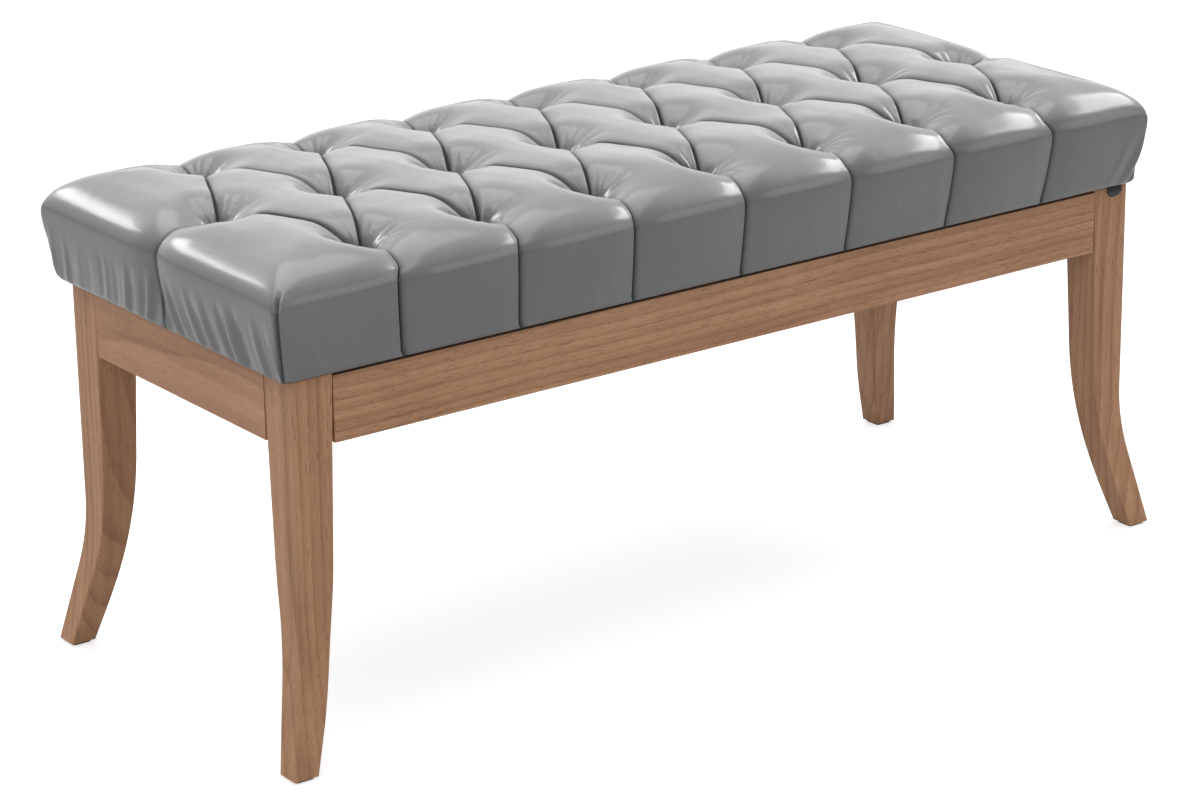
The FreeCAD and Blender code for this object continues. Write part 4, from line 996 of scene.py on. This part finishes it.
def blackCloth(name, roughness, weave):
    # black threads woven crosswise, and blotted a little
    material, tree, shader = newMaterial(name, Specular_IOR_Level=0.5, Sheen_Weight=0.1)
    place = objectPlace(tree)
    threads = [addNode(tree, "TexWave", {"bands_direction": way}, {"Scale": weave,
               "Distortion": 0.5, "Detail": 1.0}, Vector=place).outputs["Fac"]
               for way in ("X", "Y", "Z")]
    cloth = mathNode(tree, "ADD", times(tree, threads[0], threads[1]), threads[2])
    blot = noise(tree, place, 90.0, 3.0, 0.6)
    rampColour(tree, shader, blot, [(0.3, (0.010, 0.010, 0.011)), (0.75, (0.030, 0.030, 0.032))])
    varyRoughness(tree, shader, blot, 0.2, roughness)
    addBump(tree, shader, mathNode(tree, "MULTIPLY_ADD", blot, 2.0, cloth), 0.00025, 0.5)
    return material


underCloth = dustCloth()
paint(underCloth, blackCloth("black_under_cloth", 0.55, 500.0))
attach(underCloth, "root")
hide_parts("dust_cover")
cornerCloth = dustCorner()
paint(cornerCloth, blackCloth("black_corner_cloth", 0.07, 700.0))
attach(cornerCloth, "root")
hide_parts("dust_cover_fold")
print("cloth under the seat made")


# Floor, light and camera

ground = {
    "half": 16000.0,
    "dark": (0.50, 0.50, 0.50),
    "light": (0.52, 0.52, 0.52),
    "glow": 0.62,
}


def paleFloor(name):
    material, tree, shader = newMaterial(name, Roughness=0.9, Specular_IOR_Level=0.1,
                                         Emission_Color=(1, 1, 1, 1))
    # seen by the camera, the floor is burnt out to white, as a studio floor is in the photograph
    seen = addNode(tree, "LightPath").outputs["Is Camera Ray"]
    glow = times(tree, seen, ground["glow"])
    tree.links.new(glow, shader.inputs["Emission Strength"])
    speck = noise(tree, objectPlace(tree), 3.0, 2.0)
    rampColour(tree, shader, speck, [(0.3, ground["dark"]), (0.7, ground["light"])])
    return material


floorPoints = np.array([(-1, -1, 0), (1, -1, 0), (1, 1, 0), (-1, 1, 0)], float) * ground["half"]
floor = buildMesh("studio_floor", floorPoints, [np.array([[0, 1, 2, 3]])], smooth=False)
paint(floor, paleFloor("pale_floor"))

studio = {
    # name: (place, aimed at, width, height, power)
    "overhead": ((-0.3, 0.3, 3.2), (0, 0, 0.3), 3.8, 3.0, 72),
    "left": ((-2.9, -2.0, 2.1), (0, 0, 0.3), 2.2, 2.4, 36),
    "front": ((2.1, -2.7, 1.5), (0.3, 0, 0.25), 2.4, 1.6, 13),
    "right": ((2.35, -0.25, 2.2), (0, 0, 0.42), 1.7, 0.6, 26),
    "backLeft": ((-1.1, 2.8, 1.9), (0, 0, 0.4), 1.2, 0.5, 15),
}
for name, (place, aim, width, height, power) in studio.items():
    light = bpy.data.lights.new(name, "AREA")
    light.shape = "RECTANGLE"
    light.size, light.size_y, light.energy = width, height, power
    lamp = bpy.data.objects.new(name, light)
    lamp.location = place
    lamp.rotation_euler = (Vector(aim) - Vector(place)).to_track_quat("-Z", "Y").to_euler()
    bpy.context.scene.collection.objects.link(lamp)

# the room is brightest low down behind the bench, as in front of a lit white wall
wall = {
    "towards": (0.56, 0.78, 0.28),
    "from": -0.1,             # cosine of the way to it, where it starts and where it is full
    "full": 0.95,
    "dim": 0.42,
    "bright": 1.38,
}
world = bpy.data.worlds.new("studio")
world.use_nodes = True
room = world.node_tree
sight = addNode(room, "TexCoord").outputs["Generated"]
facing = vectorNode(room, "DOT_PRODUCT", sight, {1: wall["towards"]})
glow = addNode(room, "MapRange", {"interpolation_type": "SMOOTHSTEP"}, {
    "From Min": wall["from"], "From Max": wall["full"], "To Min": wall["dim"],
    "To Max": wall["bright"]}, Value=facing)
room.links.new(glow.outputs["Result"], room.nodes["Background"].inputs["Strength"])
room.nodes["Background"].inputs["Color"].default_value = (1, 1, 1, 1)
bpy.context.scene.world = world
bpy.context.scene.view_settings.view_transform = "Standard"

photo = {
    "place": (-2.03213, -2.73643, 1.36697),
    "yaw": -36.28,
    "pitch": -19.16,
    "roll": -0.81,
    "pixels": 3812.02,        # focal length, in pixels of a frame this wide
    "wide": 1200,
    "sensor": 36.0,
}
lens = bpy.data.cameras.new("camera")
lens.sensor_width = photo["sensor"]
lens.lens = photo["pixels"] * photo["sensor"] / photo["wide"]
lens.clip_end = 100.0
camera = bpy.data.objects.new("camera", lens)
camera.matrix_world = (Matrix.Translation(photo["place"])
                       @ Matrix.Rotation(radians(photo["yaw"]), 4, "Z")
                       @ Matrix.Rotation(radians(90 + photo["pitch"]), 4, "X")
                       @ Matrix.Rotation(radians(photo["roll"]), 4, "Z"))
bpy.context.scene.collection.objects.link(camera)
bpy.context.scene.camera = camera
print("floor, light and camera set")
